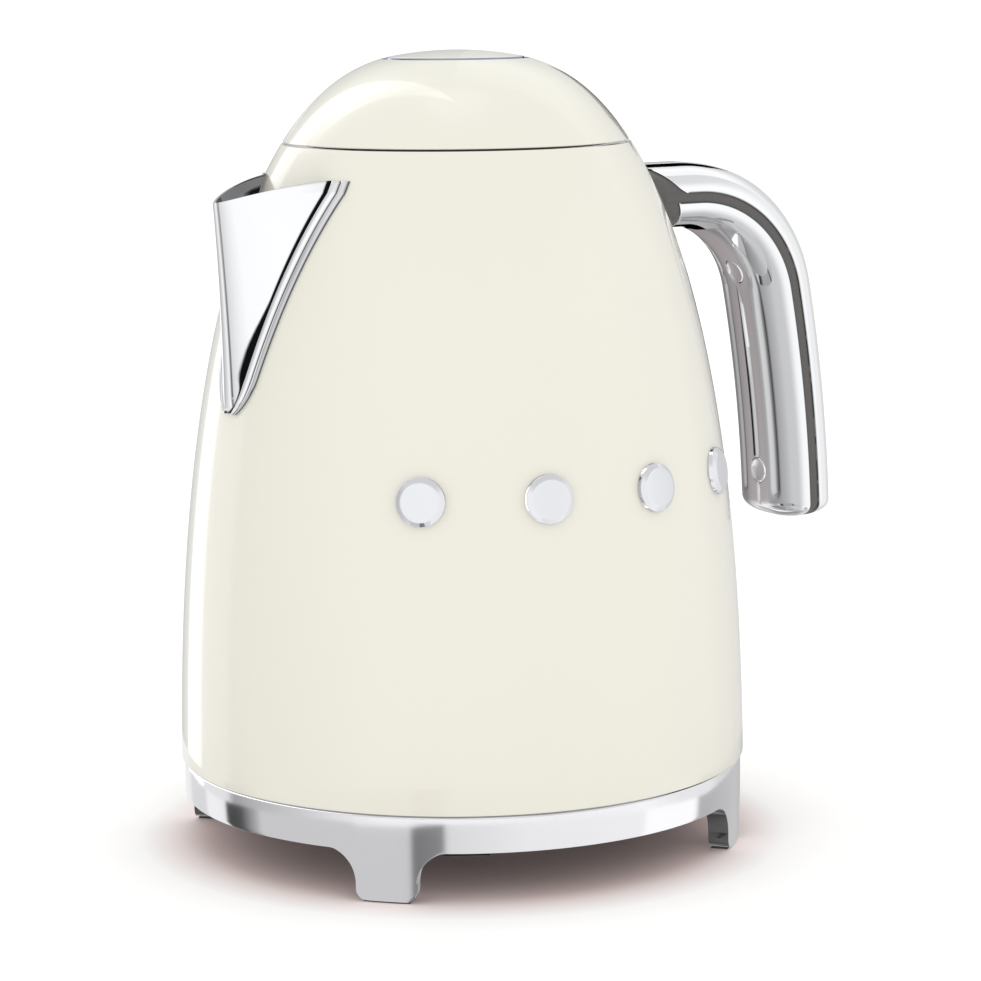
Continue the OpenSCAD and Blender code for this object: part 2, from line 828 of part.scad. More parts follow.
module handle_inner_shell() {
    color(chrome)
        difference() {
            handle_half(handle_in, -1, 58);
            side_prism() translate([0.2, 0])
                polygon(concat([[40, 0], [71.3, 0]], throat_edge, [[40, -12.2]]));
            at_plugs() translate([0, 0, -6]) cylinder(r = plug_r + 0.1, h = 12);
            for (s = [-1, 1]) grip_groove(s);
        }
}

// Long finger groove beside the middle line of the grip's inner face.
module grip_groove(s) {
    depth = -handle_in - 0.6;
    round_cut = [for (a = [0:36:324]) [depth + groove_r * cos(a), s * groove_y + groove_r * sin(a)]];
    line = concat([for (i = [0:4]) on_bend(45 + (grip_top_lean - 45) * i / 4)],
                  [for (i = [1:4]) on_grip(grip_top_lean + (grip_end_lean + 0.9 - grip_top_lean) * i / 4)]);
    sweep(ordered(round_cut, -1), line);
}

// The two places on the inner face's middle line, with +Z pointing out of the face.
plug_r = 4.1;
plug_places = [on_bend(25), on_grip(3.65)];
module at_plugs() {
    for (p = plug_places)
        translate([p[0] - handle_in * cos(p[2]), 0, p[1] - handle_in * sin(p[2])])
            rotate([0, -90 - p[2], 0]) children();
}

module handle_plugs() {
    color(chrome) at_plugs() translate([0, 0, -1.7]) cylinder(r = plug_r, h = 1.9);
}

module grip_screws() {
    color(steel) at_plugs() {
        translate([0, 0, -handle_in - 5]) cylinder(r = 1.5, h = handle_in + 1);
        translate([0, 0, -4.2]) cylinder(r = 3.2, h = 2.1);
    }
}

// Dark middle plate between the two chrome shells, with the collar that meets the body.
module handle_core() {
    w = handle_half_w - 0.35;
    plate = [[seam_t / 2, -w], [seam_t / 2, w], [-seam_t / 2, w], [-seam_t / 2, -w]];
    color(dark)
        difference() {
            union() {
                sweep(ordered(plate, -1), handle_line(58, grip_end_lean));
                collar();
                at_plugs() translate([0, 0, -handle_in - 5.5]) cylinder(r = 3.4, h = 10);
            }
            body_clearance(0.25);
            at_plugs() translate([0, 0, -handle_in - 8]) cylinder(r = 1.5, h = 14);
            at_bracket_screws(50) cylinder(r = 2, h = 21.5);
            along_x(50, 0, handle_z - 7) cylinder(r = 3, h = 19);
        }
}

module collar() {
    upper = half_round(handle_out - 0.5, handle_half_w - 0.4, 1, 0);
    lower = half_round(handle_in - 0.1, handle_half_w - 0.4, -1, 0);
    intersection() {
        translate([58, 0, handle_z]) rotate([90, 0, 90]) linear_extrude(20)
            polygon([for (p = concat(upper, ordered(lower, -1))) [p[1], p[0]]]);
        side_prism() polygon(concat([[50, -20], [50, 15.4]], shoulder_edge, throat_edge, [[75.5, -20]]));
    }
}

module at_bracket_screws(x) {
    for (s = [-1, 1]) along_x(x, 8 * s, handle_z + 0.5) children();
}

// Steel plate inside the body that the collar's screws pull against.
module handle_bracket() {
    color(steel)
        difference() {
            intersection() {
                outline_skin(handle_z - 14, handle_z + 10, -wall_t - 2.0, -wall_t - 0.25, 4);
                translate([40, -15, handle_z - 12]) cube([30, 30, 20]);
            }
            at_bracket_screws(45) cylinder(r = 2.2, h = 30);
            along_x(45, 0, handle_z - 7) cylinder(r = 3.2, h = 30);
        }
}

module handle_screws() {
    color(steel)
        at_bracket_screws(54) {
            cylinder(r = 1.95, h = 16.5);
            cylinder(r = 3.4, h = 3);
        }
}

base_ring();
foot_pads();
base_tray();
base_under_cover();
cord_spool();
cord_gland();
base_connector();
connector_contacts();
base_screws();
jug_coupler();
body_shell();
badge_studs();
jug_bottom_cover();
heating_plate();
plate_seal();
heating_element();
control_unit();
bimetal_discs();
steam_tube();
lever_bracket();
lever_pin();
spout();
spout_filter_frame();
filter_mesh();
water_window();
window_frame();
neck_ring();
hinge_bracket();
hinge_pin();
hinge_spring();
handle_core();
handle_outer_shell();
handle_inner_shell();
handle_plugs();
grip_screws();
handle_bracket();
handle_screws();
power_lever();
lever_knob();
lid_shell();
lid_carrier();
lid_inner_cover();
lid_gasket();
lid_hinge_arm();
button_bezel();
lid_screws();
lid_button();
button_stem();
button_spring();
lid_latch();
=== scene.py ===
"""The looks of the electric kettle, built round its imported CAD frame.

Shapes are worked out in millimetres in the CAD frame (+Z up, spout along -X, handle along +X) and
become metres when a piece is made. Sizes come from the CAD nodes' boxes; the outline's formula and
the handle's line repeat the design's own.
"""

import json
import math

import bmesh
import bpy
from mathutils import Matrix, Vector

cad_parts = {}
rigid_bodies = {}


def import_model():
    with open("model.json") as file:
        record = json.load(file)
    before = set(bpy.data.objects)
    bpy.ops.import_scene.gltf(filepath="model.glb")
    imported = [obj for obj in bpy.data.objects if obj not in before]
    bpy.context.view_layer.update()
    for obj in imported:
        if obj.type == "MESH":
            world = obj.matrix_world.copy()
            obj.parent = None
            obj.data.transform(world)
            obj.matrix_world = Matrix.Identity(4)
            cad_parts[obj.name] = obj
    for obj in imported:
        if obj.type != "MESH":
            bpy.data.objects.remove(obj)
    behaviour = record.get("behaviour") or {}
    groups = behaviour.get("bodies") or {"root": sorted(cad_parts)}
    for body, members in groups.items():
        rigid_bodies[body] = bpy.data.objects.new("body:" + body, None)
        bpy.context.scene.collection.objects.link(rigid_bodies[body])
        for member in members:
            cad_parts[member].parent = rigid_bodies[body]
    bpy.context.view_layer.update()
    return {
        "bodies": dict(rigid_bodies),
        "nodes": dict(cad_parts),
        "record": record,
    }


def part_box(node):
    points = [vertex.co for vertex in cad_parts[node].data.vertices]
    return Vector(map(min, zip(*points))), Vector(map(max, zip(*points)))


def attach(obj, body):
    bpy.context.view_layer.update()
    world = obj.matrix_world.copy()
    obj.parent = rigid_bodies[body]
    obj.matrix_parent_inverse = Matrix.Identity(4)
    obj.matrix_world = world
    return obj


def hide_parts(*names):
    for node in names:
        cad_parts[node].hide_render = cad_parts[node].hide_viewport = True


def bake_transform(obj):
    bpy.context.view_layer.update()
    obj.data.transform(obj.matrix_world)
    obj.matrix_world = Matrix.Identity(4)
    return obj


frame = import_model()
nodes = frame["nodes"]
SLOTS = {part["node"]: part["material_slot"] for part in frame["record"]["subparts"]}
MM = 0.001


def box_mm(node):
    """Lowest and highest corner of a CAD node, in millimetres."""
    low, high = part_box(node)
    return low / MM, high / MM


# ---- Sizes, in millimetres ----

BODY_LOW, BODY_HIGH = box_mm("body_shell")
RING_LOW, RING_HIGH = box_mm("base_ring")
LID_LOW = box_mm("lid_shell")[0]
BUTTON_LOW, BUTTON_HIGH = box_mm("lid_button")

# Outline of body and lid: radius = R (1 - h^side)^(1/dome), with h the share of the outline's height.
OUTLINE_R = 88.3
OUTLINE_FOOT_Z = 12.9
OUTLINE_TOP_Z = 244.6
SIDE_POWER = 2.21
DOME_POWER = 2.81
WALL = 1.0

RING_R = RING_HIGH.x
RING_THICK = 2.6
RING_UNDER_Z = 15.5
FOOT_W = 18.5
FOOT_THICK = 6.5
FOOT_FLARE = 10.5
FOOT_CORNER = 3.2
FOOT_AZIMUTH = 43.8

SPOUT_BOTTOM_Z = 138.0
SPOUT_TIP_Z = 201.8
SPOUT_RIM_Z = 208.2
SPOUT_TIP_X = 83.5
SPOUT_HALF_W = 28.0
SPOUT_SHEET = 1.2
FLANGE_LOW_HALF = 9.2
FLANGE_W = 6.0

HANDLE_Z = 197.1
BEND_X = 80.0
BEND_R = 38.0
GRIP_TOP_LEAN = 11.0
GRIP_END_LEAN = 1.7
GRIP_R = 480.0
HANDLE_HALF_W = 17.0
HANDLE_OUT = 11.4
ARM_OUT = 10.4
HANDLE_IN = 10.3
SEAM_T = 3.0
# Edges between the dark collar and the outer and inner shells, as x and height above the seam.
SHOULDER_EDGE = [(56, 15.4), (63.8, 9.6), (67.6, 6.9), (70.2, 4.6), (72.2, 2.7), (74.5, 1.45)]
THROAT_EDGE = [(71.3, -1.45), (75.5, -12.2)]
SECTION_POWER = 2.5
SHELL_T = 1.8
PLUG_R = 4.1
# The two finger grooves on the grip's inner face: distance from the middle, half width and depth.
GROOVE_Y = 8.4
GROOVE_HALF_W = 2.3
GROOVE_DEPTH = 1.2
# The narrow channel between the plugs, and the short one below the lower plug.
MIDDLE_HALF_W = 1.7
MIDDLE_DEPTH = 0.8
TAIL_HALF_W = 1.5
TAIL_DEPTH = 0.5
PLUG_CLEAR = 3.4

BUTTON_R = BUTTON_HIGH.x
BUTTON_RIM_Z = 242.9
BUTTON_GAP = 0.9
BUTTON_WALL = 1.8
STUD_R = 7.2
STUD_STEP = 25.9


def outline_radius(z):
    share = (z - OUTLINE_FOOT_Z) / (OUTLINE_TOP_Z - OUTLINE_FOOT_Z)
    return OUTLINE_R * (1 - share**SIDE_POWER) ** (1 / DOME_POWER)


def outline_height(radius):
    """Height at which the outline has that radius."""
    share = (1 - (radius / OUTLINE_R) ** DOME_POWER) ** (1 / SIDE_POWER)
    return OUTLINE_FOOT_Z + share * (OUTLINE_TOP_Z - OUTLINE_FOOT_Z)


# ---- Node materials ----


def add_node(tree, kind, links=None, **settings):
    """A new node: settings are properties or, with _ for a space, input values; links are its sources."""
    made = tree.nodes.new(kind)
    for key, value in settings.items():
        if hasattr(made, key):
            setattr(made, key, value)
        else:
            made.inputs[key.replace("_", " ")].default_value = value
    for socket, source in (links or {}).items():
        tree.links.new(source, made.inputs[socket])
    return made


class Shader:
    """A material with one Principled shader and short calls for the nodes that feed it."""

    def __init__(self, name, color, roughness, metallic=0.0, **inputs):
        self.material = bpy.data.materials.new(name)
        self.material.use_nodes = True
        self.tree = self.material.node_tree
        self.shader = self.tree.nodes["Principled BSDF"]
        self.color, self.roughness = color, roughness
        self.set("Base Color", (*color, 1))
        self.set("Roughness", roughness)
        self.set("Metallic", metallic)
        for socket, value in inputs.items():
            self.set(socket.replace("_", " "), value)
        self.coords = self.node("ShaderNodeTexCoord").outputs["Object"]

    def set(self, socket, value):
        self.shader.inputs[socket].default_value = value

    def node(self, kind, links=None, **settings):
        return add_node(self.tree, kind, links, **settings)

    def link(self, source, target):
        self.tree.links.new(source, target)

    def stretched(self, scale):
        """Object coordinates scaled by a vector, so that noise turns into grain or brush lines."""
        mapped = self.node("ShaderNodeVectorMath", {0: self.coords}, operation="MULTIPLY")
        mapped.inputs[1].default_value = scale
        return mapped.outputs[0]

    def round_axis(self, turns, along):
        """Coordinates that run round the Z axis: brush lines follow the circumference."""
        x, y, z = self.node("ShaderNodeSeparateXYZ", {0: self.coords}).outputs
        angle = self.node("ShaderNodeMath", {0: y, 1: x}, operation="ARCTAN2")
        flat = self.node("ShaderNodeVectorMath", {0: self.coords}, operation="MULTIPLY")
        flat.inputs[1].default_value = (1, 1, 0)
        radius = self.node("ShaderNodeVectorMath", {0: flat.outputs[0]}, operation="LENGTH")
        unrolled = self.node("ShaderNodeCombineXYZ", {0: angle.outputs[0], 1: radius.outputs["Value"], 2: z})
        scaled = self.node("ShaderNodeVectorMath", {0: unrolled.outputs[0]}, operation="MULTIPLY")
        scaled.inputs[1].default_value = (turns, along, along)
        return scaled.outputs[0]

    def noise(self, scale, detail=3.0, vector=None, roughness=0.5):
        made = self.node("ShaderNodeTexNoise", {"Vector": vector or self.coords}, Scale=scale, Detail=detail)
        made.inputs["Roughness"].default_value = roughness
        return made.outputs["Fac"]

    def vary_color(self, fac, amount):
        """Base colour that runs from a little darker to a little lighter than the plain colour."""
        mix = self.node("ShaderNodeMix", data_type="RGBA")
        self.link(fac, mix.inputs[0])
        mix.inputs[6].default_value = (*[c * (1 - amount) for c in self.color], 1)
        mix.inputs[7].default_value = (*[min(1, c * (1 + amount)) for c in self.color], 1)
        self.link(mix.outputs[2], self.shader.inputs["Base Color"])

    def turn_to(self, fac, color):
        """Base colour that turns to another one where the factor is 1."""
        mix = self.node("ShaderNodeMix", data_type="RGBA")
        self.link(fac, mix.inputs[0])
        self.link(self.shader.inputs["Base Color"].links[0].from_socket, mix.inputs[6])
        mix.inputs[7].default_value = (*color, 1)
        self.link(mix.outputs[2], self.shader.inputs["Base Color"])

    def vary_roughness(self, fac, amount):
        spread = self.node("ShaderNodeMapRange", {"Value": fac})
        spread.inputs["To Min"].default_value = max(0.0, self.roughness - amount)
        spread.inputs["To Max"].default_value = self.roughness + amount
        self.link(spread.outputs[0], self.shader.inputs["Roughness"])

    def bump(self, fac, height, strength=1.0):
        made = self.node("ShaderNodeBump", {"Height": fac}, Distance=height, Strength=strength)
        self.link(made.outputs[0], self.shader.inputs["Normal"])


def enamel():
    """Glossy cream stove enamel with a faint orange-peel surface, over steel that stays bare inside."""
    s = Shader("enamel_cream", (0.71, 0.69, 0.605), 0.3, Coat_Weight=1.0, Coat_Roughness=0.015)
    s.vary_color(s.noise(9.0), 0.004)
    inside = s.node("ShaderNodeAttribute", attribute_name="inside").outputs["Fac"]
    s.turn_to(inside, (0.6, 0.605, 0.62))
    s.link(inside, s.shader.inputs["Metallic"])
    s.vary_roughness(s.noise(60.0), 0.02)
    s.bump(s.noise(420.0, 1.0), 0.000004, 0.1)
    return s.material


def mirror_chrome(name, color=(0.93, 0.935, 0.95), roughness=0.045):
    """Polished plate: a bright mirror with slight wipe marks, with painted shade and painted reflections that
    turn it near-black where its mesh says so.
    """
    s = Shader(name, color, roughness, 1.0)
    s.vary_color(s.noise(22.0), 0.012)
    # Painted shade and painted reflections: the base colour turns near-black by the mesh's painted-shade
    # point attribute.
    s.turn_to(s.node("ShaderNodeAttribute", attribute_name="painted_shade").outputs["Fac"], (0.006, 0.006, 0.007))
    s.vary_roughness(s.noise(55.0, 5.0, roughness=0.7), 0.02)
    s.bump(s.noise(1.0, 2.0, s.stretched((2600, 2600, 260))), 0.000002, 0.15)
    return s.material


def satin_metal():
    """Base ring: polished casting with a fine satin grain round it, and painted shade on the flanks of its
    feet.
    """
    s = Shader("satin_base_metal", (0.86, 0.86, 0.885), 0.11, 1.0)
    grain = s.noise(1.0, 4.0, s.round_axis(60, 9000), 0.65)
    s.vary_color(s.noise(1500.0, 2.0), 0.03)
    # Painted shade: faces that turn along the ring, the flanks of the feet, are painted near-black.
    along = s.node("ShaderNodeVectorMath", {0: s.coords}, operation="CROSS_PRODUCT")
    along.inputs[1].default_value = (0, 0, 1)
    unit = s.node("ShaderNodeVectorMath", {0: along.outputs[0]}, operation="NORMALIZE")
    normal = s.node("ShaderNodeNewGeometry").outputs["True Normal"]
    facing = s.node("ShaderNodeVectorMath", {0: unit.outputs[0], 1: normal}, operation="DOT_PRODUCT")
    size = s.node("ShaderNodeMath", {0: facing.outputs["Value"]}, operation="ABSOLUTE")
    painted_flank_dark = s.node("ShaderNodeMapRange", {"Value": size.outputs[0]}, From_Min=0.2, From_Max=0.6, To_Max=0.92)
    s.turn_to(painted_flank_dark.outputs[0], (0.03, 0.028, 0.028))
    s.vary_roughness(grain, 0.035)
    s.bump(grain, 0.000004, 0.2)
    return s.material


def moulded(name, color, roughness=0.45, grain=2400.0, depth=0.00003):
    """Moulded plastic with a fine spark-eroded grain."""
    s = Shader(name, color, roughness)
    s.vary_color(s.noise(40.0), 0.05)
    s.vary_roughness(s.noise(300.0), 0.05)
    s.bump(s.noise(grain, 2.0), depth, 0.3)
    return s.material


def rubber():
    s = Shader("foot_rubber", (0.035, 0.035, 0.037), 0.75)
    s.vary_color(s.noise(180.0), 0.2)
    s.vary_roughness(s.noise(500.0), 0.08)
    s.bump(s.noise(1400.0, 4.0), 0.00006, 0.5)
    return s.material


def brushed_steel(name, color, roughness, turns=40):
    """Spun or brushed steel, with its lines round the kettle's axis."""
    s = Shader(name, color, roughness, 1.0)
    lines = s.noise(1.0, 5.0, s.round_axis(turns, 5200), 0.7)
    s.vary_color(lines, 0.08)
    s.vary_roughness(lines, 0.08)
    s.bump(lines, 0.000015, 0.35)
    return s.material


def brass():
    s = Shader("contact_brass", (0.83, 0.62, 0.28), 0.22, 1.0)
    s.vary_color(s.noise(160.0, 5.0), 0.12)
    s.vary_roughness(s.noise(260.0), 0.08)
    s.bump(s.noise(900.0), 0.00001, 0.3)
    return s.material


def clear_window():
    """Smoked clear plastic of the water gauge."""
    s = Shader("window_clear", (0.78, 0.84, 0.86), 0.05, Transmission_Weight=0.85, IOR=1.49)
    s.vary_color(s.noise(50.0), 0.03)
    s.vary_roughness(s.noise(200.0), 0.02)
    s.bump(s.noise(500.0), 0.000006, 0.2)
    return s.material


MATERIALS = {
    "body_paint": enamel(),
    "base_metal": satin_metal(),
    "spout_chrome": mirror_chrome("spout_chrome"),
    "handle_chrome": mirror_chrome("handle_chrome", roughness=0.05),
    "stud_chrome": mirror_chrome("stud_chrome", (0.8, 0.81, 0.84), 0.06),
    "bezel_metal": mirror_chrome("bezel_metal", (0.30, 0.34, 0.42), 0.15),
    "handle_dark": moulded("handle_dark", (0.088, 0.082, 0.078), 0.42, 1800.0, 0.00002),
    "grey_plastic": moulded("grey_plastic", (0.06, 0.06, 0.064)),
    "base_plastic": moulded("base_plastic", (0.022, 0.022, 0.024), 0.5),
    "white_plastic": moulded("white_plastic", (0.78, 0.78, 0.75), 0.38),
    "foot_rubber": rubber(),
    "inner_steel": brushed_steel("inner_steel", (0.68, 0.69, 0.71), 0.22),
    "element_steel": brushed_steel("element_steel", (0.36, 0.36, 0.37), 0.4, 12),
    "contact_brass": brass(),
    "window_clear": clear_window(),
}
MATERIALS["lid_paint"] = MATERIALS["body_paint"]
# Slots that polished metal mirrors; in place of the rest it sees the studio's panels.
MIRRORED = {"spout_chrome", "handle_chrome", "handle_dark"}


# ---- Mesh tools ----


def new_object(name, vertices, faces, painted_shade_values=None):
    """Object from points in millimetres; the optional list gives each point's painted shade, 0 to 1, kept as
    a point attribute.
    """
    mesh = bpy.data.meshes.new(name)
    mesh.from_pydata([Vector(v) * MM for v in vertices], [], faces)
    if painted_shade_values:
        mesh.attributes.new("painted_shade", "FLOAT", "POINT").data.foreach_set("value", painted_shade_values)
    made = bpy.data.objects.new(name, mesh)
    bpy.context.scene.collection.objects.link(made)
    clean(made)
    return made


def clean(piece):
    """Merges doubled points, drops empty faces and turns every face outwards."""
    bm = bmesh.new()
    bm.from_mesh(piece.data)
    bmesh.ops.remove_doubles(bm, verts=bm.verts, dist=2e-6)
    bmesh.ops.dissolve_degenerate(bm, edges=bm.edges, dist=1e-6)
    bmesh.ops.recalc_face_normals(bm, faces=bm.faces)
    bm.to_mesh(piece.data)
    bm.free()


def shade(piece, angle=32):
    for face in piece.data.polygons:
        face.use_smooth = True
    piece.data.set_sharp_from_angle(angle=math.radians(angle))


def apply_modifiers(piece):
    graph = bpy.context.evaluated_depsgraph_get()
    done = bpy.data.meshes.new_from_object(piece.evaluated_get(graph))
    piece.modifiers.clear()
    piece.data = done


def boolean(piece, cutter, operation="DIFFERENCE"):
    """Cuts, joins or intersects and removes the cutter."""
    step = piece.modifiers.new("cut", "BOOLEAN")
    step.operation, step.solver, step.object = operation, "EXACT", cutter
    apply_modifiers(piece)
    bpy.data.objects.remove(cutter)


def bevel(piece, width, segments=3, angle=40):
    """Rounds every edge sharper than the angle; width in millimetres."""
    step = piece.modifiers.new("bevel", "BEVEL")
    step.width, step.segments = width * MM, segments
    step.limit_method, step.angle_limit = "ANGLE", math.radians(angle)
    step.use_clamp_overlap = True
    step.harden_normals = False
    apply_modifiers(piece)


def grid_faces(rows, columns, closed_rows=False, closed_columns=False):
    """Quads between neighbours of a grid of points stored row by row."""
    return [
        (i * columns + k, i * columns + (k + 1) % columns,
         (i + 1) % rows * columns + (k + 1) % columns, (i + 1) % rows * columns + k)
        for i in range(rows if closed_rows else rows - 1)
        for k in range(columns if closed_columns else columns - 1)
    ]


def revolve(name, profile, segments=192):
    """Solid of revolution from a closed profile of (radius, z); points on the axis become one."""
    turns = [2 * math.pi * i / segments for i in range(segments)]
    points = [(r * math.cos(a), r * math.sin(a), z) for a in turns for r, z in profile]
    return new_object(name, points, grid_faces(segments, len(profile), True, True))


def prism(name, outline, start, end):
    """Straight prism of a closed outline given as points at both ends."""
    n = len(outline)
    points = [tuple(p[k] + start[k] for k in range(3)) for p in outline]
    points += [tuple(p[k] + end[k] for k in range(3)) for p in outline]
    sides = [(k, (k + 1) % n, n + (k + 1) % n, n + k) for k in range(n)]
    return new_object(name, points, sides + [tuple(range(n))[::-1], tuple(range(n, 2 * n))])


def block(name, low, high):
    x0, y0, z0 = low
    x1, y1, z1 = high
    return prism(name, [(x0, y0, 0), (x1, y0, 0), (x1, y1, 0), (x0, y1, 0)], (0, 0, z0), (0, 0, z1))


def rod(name, radius, start, end, sides=96):
    """Cylinder between two points, used as a cutter."""
    axis = Vector(end) - Vector(start)
    turn = axis.to_track_quat("Z", "Y")
    circle = [turn @ Vector((radius * math.cos(a), radius * math.sin(a), 0))
              for a in (2 * math.pi * k / sides for k in range(sides))]
    return prism(name, [tuple(p) for p in circle], start, end)


def joined(name, parts):
    """One object from several, with their meshes side by side."""
    bm = bmesh.new()
    for part in parts:
        bm.from_mesh(part.data)
        bpy.data.objects.remove(part)
    mesh = bpy.data.meshes.new(name)
    bm.to_mesh(mesh)
    bm.free()
    made = bpy.data.objects.new(name, mesh)
    bpy.context.scene.collection.objects.link(made)
    return made


def settle(piece, body, slot, *replaced, material=None, angle=32):
    """Shades a finished piece, gives it its material and fastens it to its CAD body. A body given as a
    tuple of two body names and two points in metres is not used: such a piece is only baked in place."""
    shade(piece, angle)
    piece.data.materials.clear()
    piece.data.materials.append(MATERIALS[material or slot])
    piece.visible_glossy = slot in MIRRORED
    if isinstance(body, tuple):
        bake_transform(piece)
    else:
        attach(piece, body)
    if replaced:
        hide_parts(*replaced)
    return piece


def arc(centre, radius, start, end, steps):
    """Points (a, b) on an arc, from one angle to another, in degrees."""
    angles = [math.radians(start + (end - start) * i / steps) for i in range(steps + 1)]
    return [(centre[0] + radius * math.cos(a), centre[1] + radius * math.sin(a)) for a in angles]


def spaced(low, high, n):
    return [low + (high - low) * i / n for i in range(n + 1)]


# ---- Painted body and lid ----


def skin_profile(low, high, thickness, rows, edge, hem):
    """Closed profile of a painted sheet: its lower and upper edges turn inwards on small arcs."""
    outside = [(outline_radius(z), z) for z in spaced(low + edge, high - hem, rows)]
    r_low, r_high = outside[0][0], outside[-1][0]
    lean = math.degrees(math.atan2(outside[-2][0] - r_high, outside[-1][1] - outside[-2][1]))
    under = arc((r_low - edge, low + edge), edge, -90, 0, 6)[:-1]
    across, up = hem * math.cos(math.radians(lean)), hem * math.sin(math.radians(lean))
    over = arc((r_high - across, high - hem - up), hem, lean, 90, 6)[1:]
    levels = spaced(high - hem - 0.6, low + edge + 0.4, rows // 2)
    inside = [(outline_radius(z) - thickness, z) for z in levels]
    return under + outside + over + inside


def body_shell():
    """The painted body with its openings: under the spout, for window and lever, and behind the hinge."""
    body = revolve("body_shell", skin_profile(BODY_LOW.z, BODY_HIGH.z, WALL, 110, 0.5, 0.3), 288)
    low, high = SPOUT_BOTTOM_Z + 16, SPOUT_TIP_Z + 0.2
    wedge = [(0, 3, low), (0, 18, high), (0, -18, high), (0, -3, low)]
    boolean(body, prism("spout_hole", wedge, (-100, 0, 0), (-40, 0, 0)))
    gap = 0.15
    low, high = box_mm("water_window")
    boolean(body, block("window_slot", (60, low.y - gap, low.z - gap), (100, high.y + gap, high.z + gap)))
    boolean(body, block("lever_slot", (80, -4, 28.5), (100, 4, 41.5)))
    low, high = box_mm("hinge_bracket")
    boolean(body, block("hinge_notch", (48, low.y - 0.4, low.z - 0.3), (60, high.y + 0.4, BODY_HIGH.z + 5)))
    radii = [(math.hypot(v.co.x, v.co.y) / MM, v.co.z / MM) for v in body.data.vertices]
    inside = [radius < outline_radius(z) - WALL / 2 for radius, z in radii]
    body.data.attributes.new("inside", "FLOAT", "POINT").data.foreach_set("value", inside)
    return settle(body, "jug", "body_paint", "body_shell")


def lid_shell():
    """The painted dome of the lid, with a hole for the button and a notch for the hinge."""
    top = outline_height(BUTTON_R + BUTTON_GAP + 0.4)
    lid = revolve("lid_shell", skin_profile(LID_LOW.z, top, 1.2, 60, 0.35, 0.35), 288)
    low, high = box_mm("hinge_bracket")
    boolean(lid, block("lid_notch", (46, low.y - 0.5, LID_LOW.z - 1), (58, high.y + 0.5, LID_LOW.z + 3.8)))
    return settle(lid, "lid", "lid_paint", "lid_shell")


def button_bezel():
    """The thin metal line round the button."""
    inner, outer, round_r = BUTTON_R + 0.25, BUTTON_R + 0.8, 0.25
    low, high = (c.z for c in box_mm("button_bezel"))
    profile = [(inner, low), (outer, low), (outer, high - round_r)]
    profile += arc((outer - round_r, high - round_r), round_r, 0, 90, 5)[1:] + [(inner, high)]
    bezel = revolve("button_bezel", profile)
    return settle(bezel, "lid", "stud_chrome", "button_bezel", material="bezel_metal")


def lid_button():
    """The round crown that opens the lid: gently domed, with a rounded rim, and hollow below."""
    edge, rise = 0.45, BUTTON_HIGH.z - BUTTON_RIM_Z
    crown = [(f * (BUTTON_R - edge), BUTTON_RIM_Z + rise * (1 - f * f)) for f in spaced(0, 1, 24)]
    lean = math.degrees(math.atan(2 * rise / (BUTTON_R - edge)))
    rim = arc((BUTTON_R - edge, BUTTON_RIM_Z - edge), edge, 90 - lean, 0, 6)
    inner, roof_z = BUTTON_R - BUTTON_WALL, BUTTON_RIM_Z - 1.6
    hollow = [(BUTTON_R, BUTTON_LOW.z), (inner, BUTTON_LOW.z), (inner, roof_z), (0, roof_z)]
    return settle(revolve("lid_button", crown[:-1] + rim + hollow), "button", "lid_paint", "lid_button")


# ---- Base ring with its four feet ----


def foot_profile():
    """Lower edge of the ring beside one foot: distance from the foot's middle, and height."""
    half, low = FOOT_W / 2, RING_LOW.z
    flare_top = RING_UNDER_Z + 0.4
    flat = [(s, low) for s in spaced(0, half - FOOT_CORNER, 6)[:-1]]
    corner = arc((half - FOOT_CORNER, low + FOOT_CORNER), FOOT_CORNER, -90, 0, 8)
    flare = arc((half + FOOT_FLARE, flare_top - FOOT_FLARE), FOOT_FLARE, 180, 102, 12)
    return flat + corner + flare


def base_ring():
    """The ring as an upright band whose lower edge dips into four thick feet."""
    top, round_r = RING_HIGH.z, 0.6
    inner, step_z = RING_R - RING_THICK, RING_UNDER_Z + 3
    shoulder = arc((RING_R - round_r, top - round_r), round_r, 0, 90, 4)
    half = [(s, min(z, RING_UNDER_Z), FOOT_THICK) for s, z in foot_profile()]
    foot = [(-s, z, thick) for s, z, thick in half[:0:-1]] + half
    reach, quarter = half[-1][0], RING_R * math.pi / 2
    band = [(s, RING_UNDER_Z, RING_THICK) for s in spaced(reach, quarter - reach, 72)]
    points = []
    for i in range(4):
        for s, low, thick in foot + band:
            a = math.radians(FOOT_AZIMUTH) + (s + i * quarter) / RING_R
            section = [(RING_R, low), (RING_R, low + 0.9)] + shoulder
            section += [(inner, top), (inner, step_z), (RING_R - thick, step_z), (RING_R - thick, low)]
            points += [(r * math.cos(a), r * math.sin(a), z) for r, z in section]
    columns = 4 * len(foot + band)
    ring = new_object("base_ring", points, grid_faces(columns, len(points) // columns, True, True))
    bevel(ring, 0.45, 3, 50)
    return settle(ring, "base", "base_metal", "base_ring")


# ---- Spout ----


def smooth_step(x):
    x = min(1.0, max(0.0, x))
    return x * x * (3 - 2 * x)


def spout_levels():
    """Shares t from the spout's lowest point to its rim, crowded towards the pointed bottom."""
    return [0.012 + 0.988 * (i / 150) ** 1.25 for i in range(151)]


def flange_half(t):
    closing = math.sqrt(max(0.02, 1 - (1 - t / 0.18) ** 2)) if t < 0.18 else 1
    corner = 24 * (t - 0.95) if t > 0.95 else 0
    return (FLANGE_LOW_HALF + (SPOUT_HALF_W - FLANGE_LOW_HALF) * t) * closing - corner


def on_body(y, t, grow):
    z = SPOUT_BOTTOM_Z + (SPOUT_RIM_Z - SPOUT_BOTTOM_Z) * t
    r = outline_radius(z) + grow
    return (-math.sqrt(r * r - y * y), y, z)


def nose(t, inset):
    z = SPOUT_BOTTOM_Z + 2 + (SPOUT_TIP_Z - SPOUT_BOTTOM_Z - 2) * t
    x = max(outline_radius(z) + 2.2, SPOUT_TIP_X - 2.4 * (1 - t * t))
    return (inset - x, 0, z)
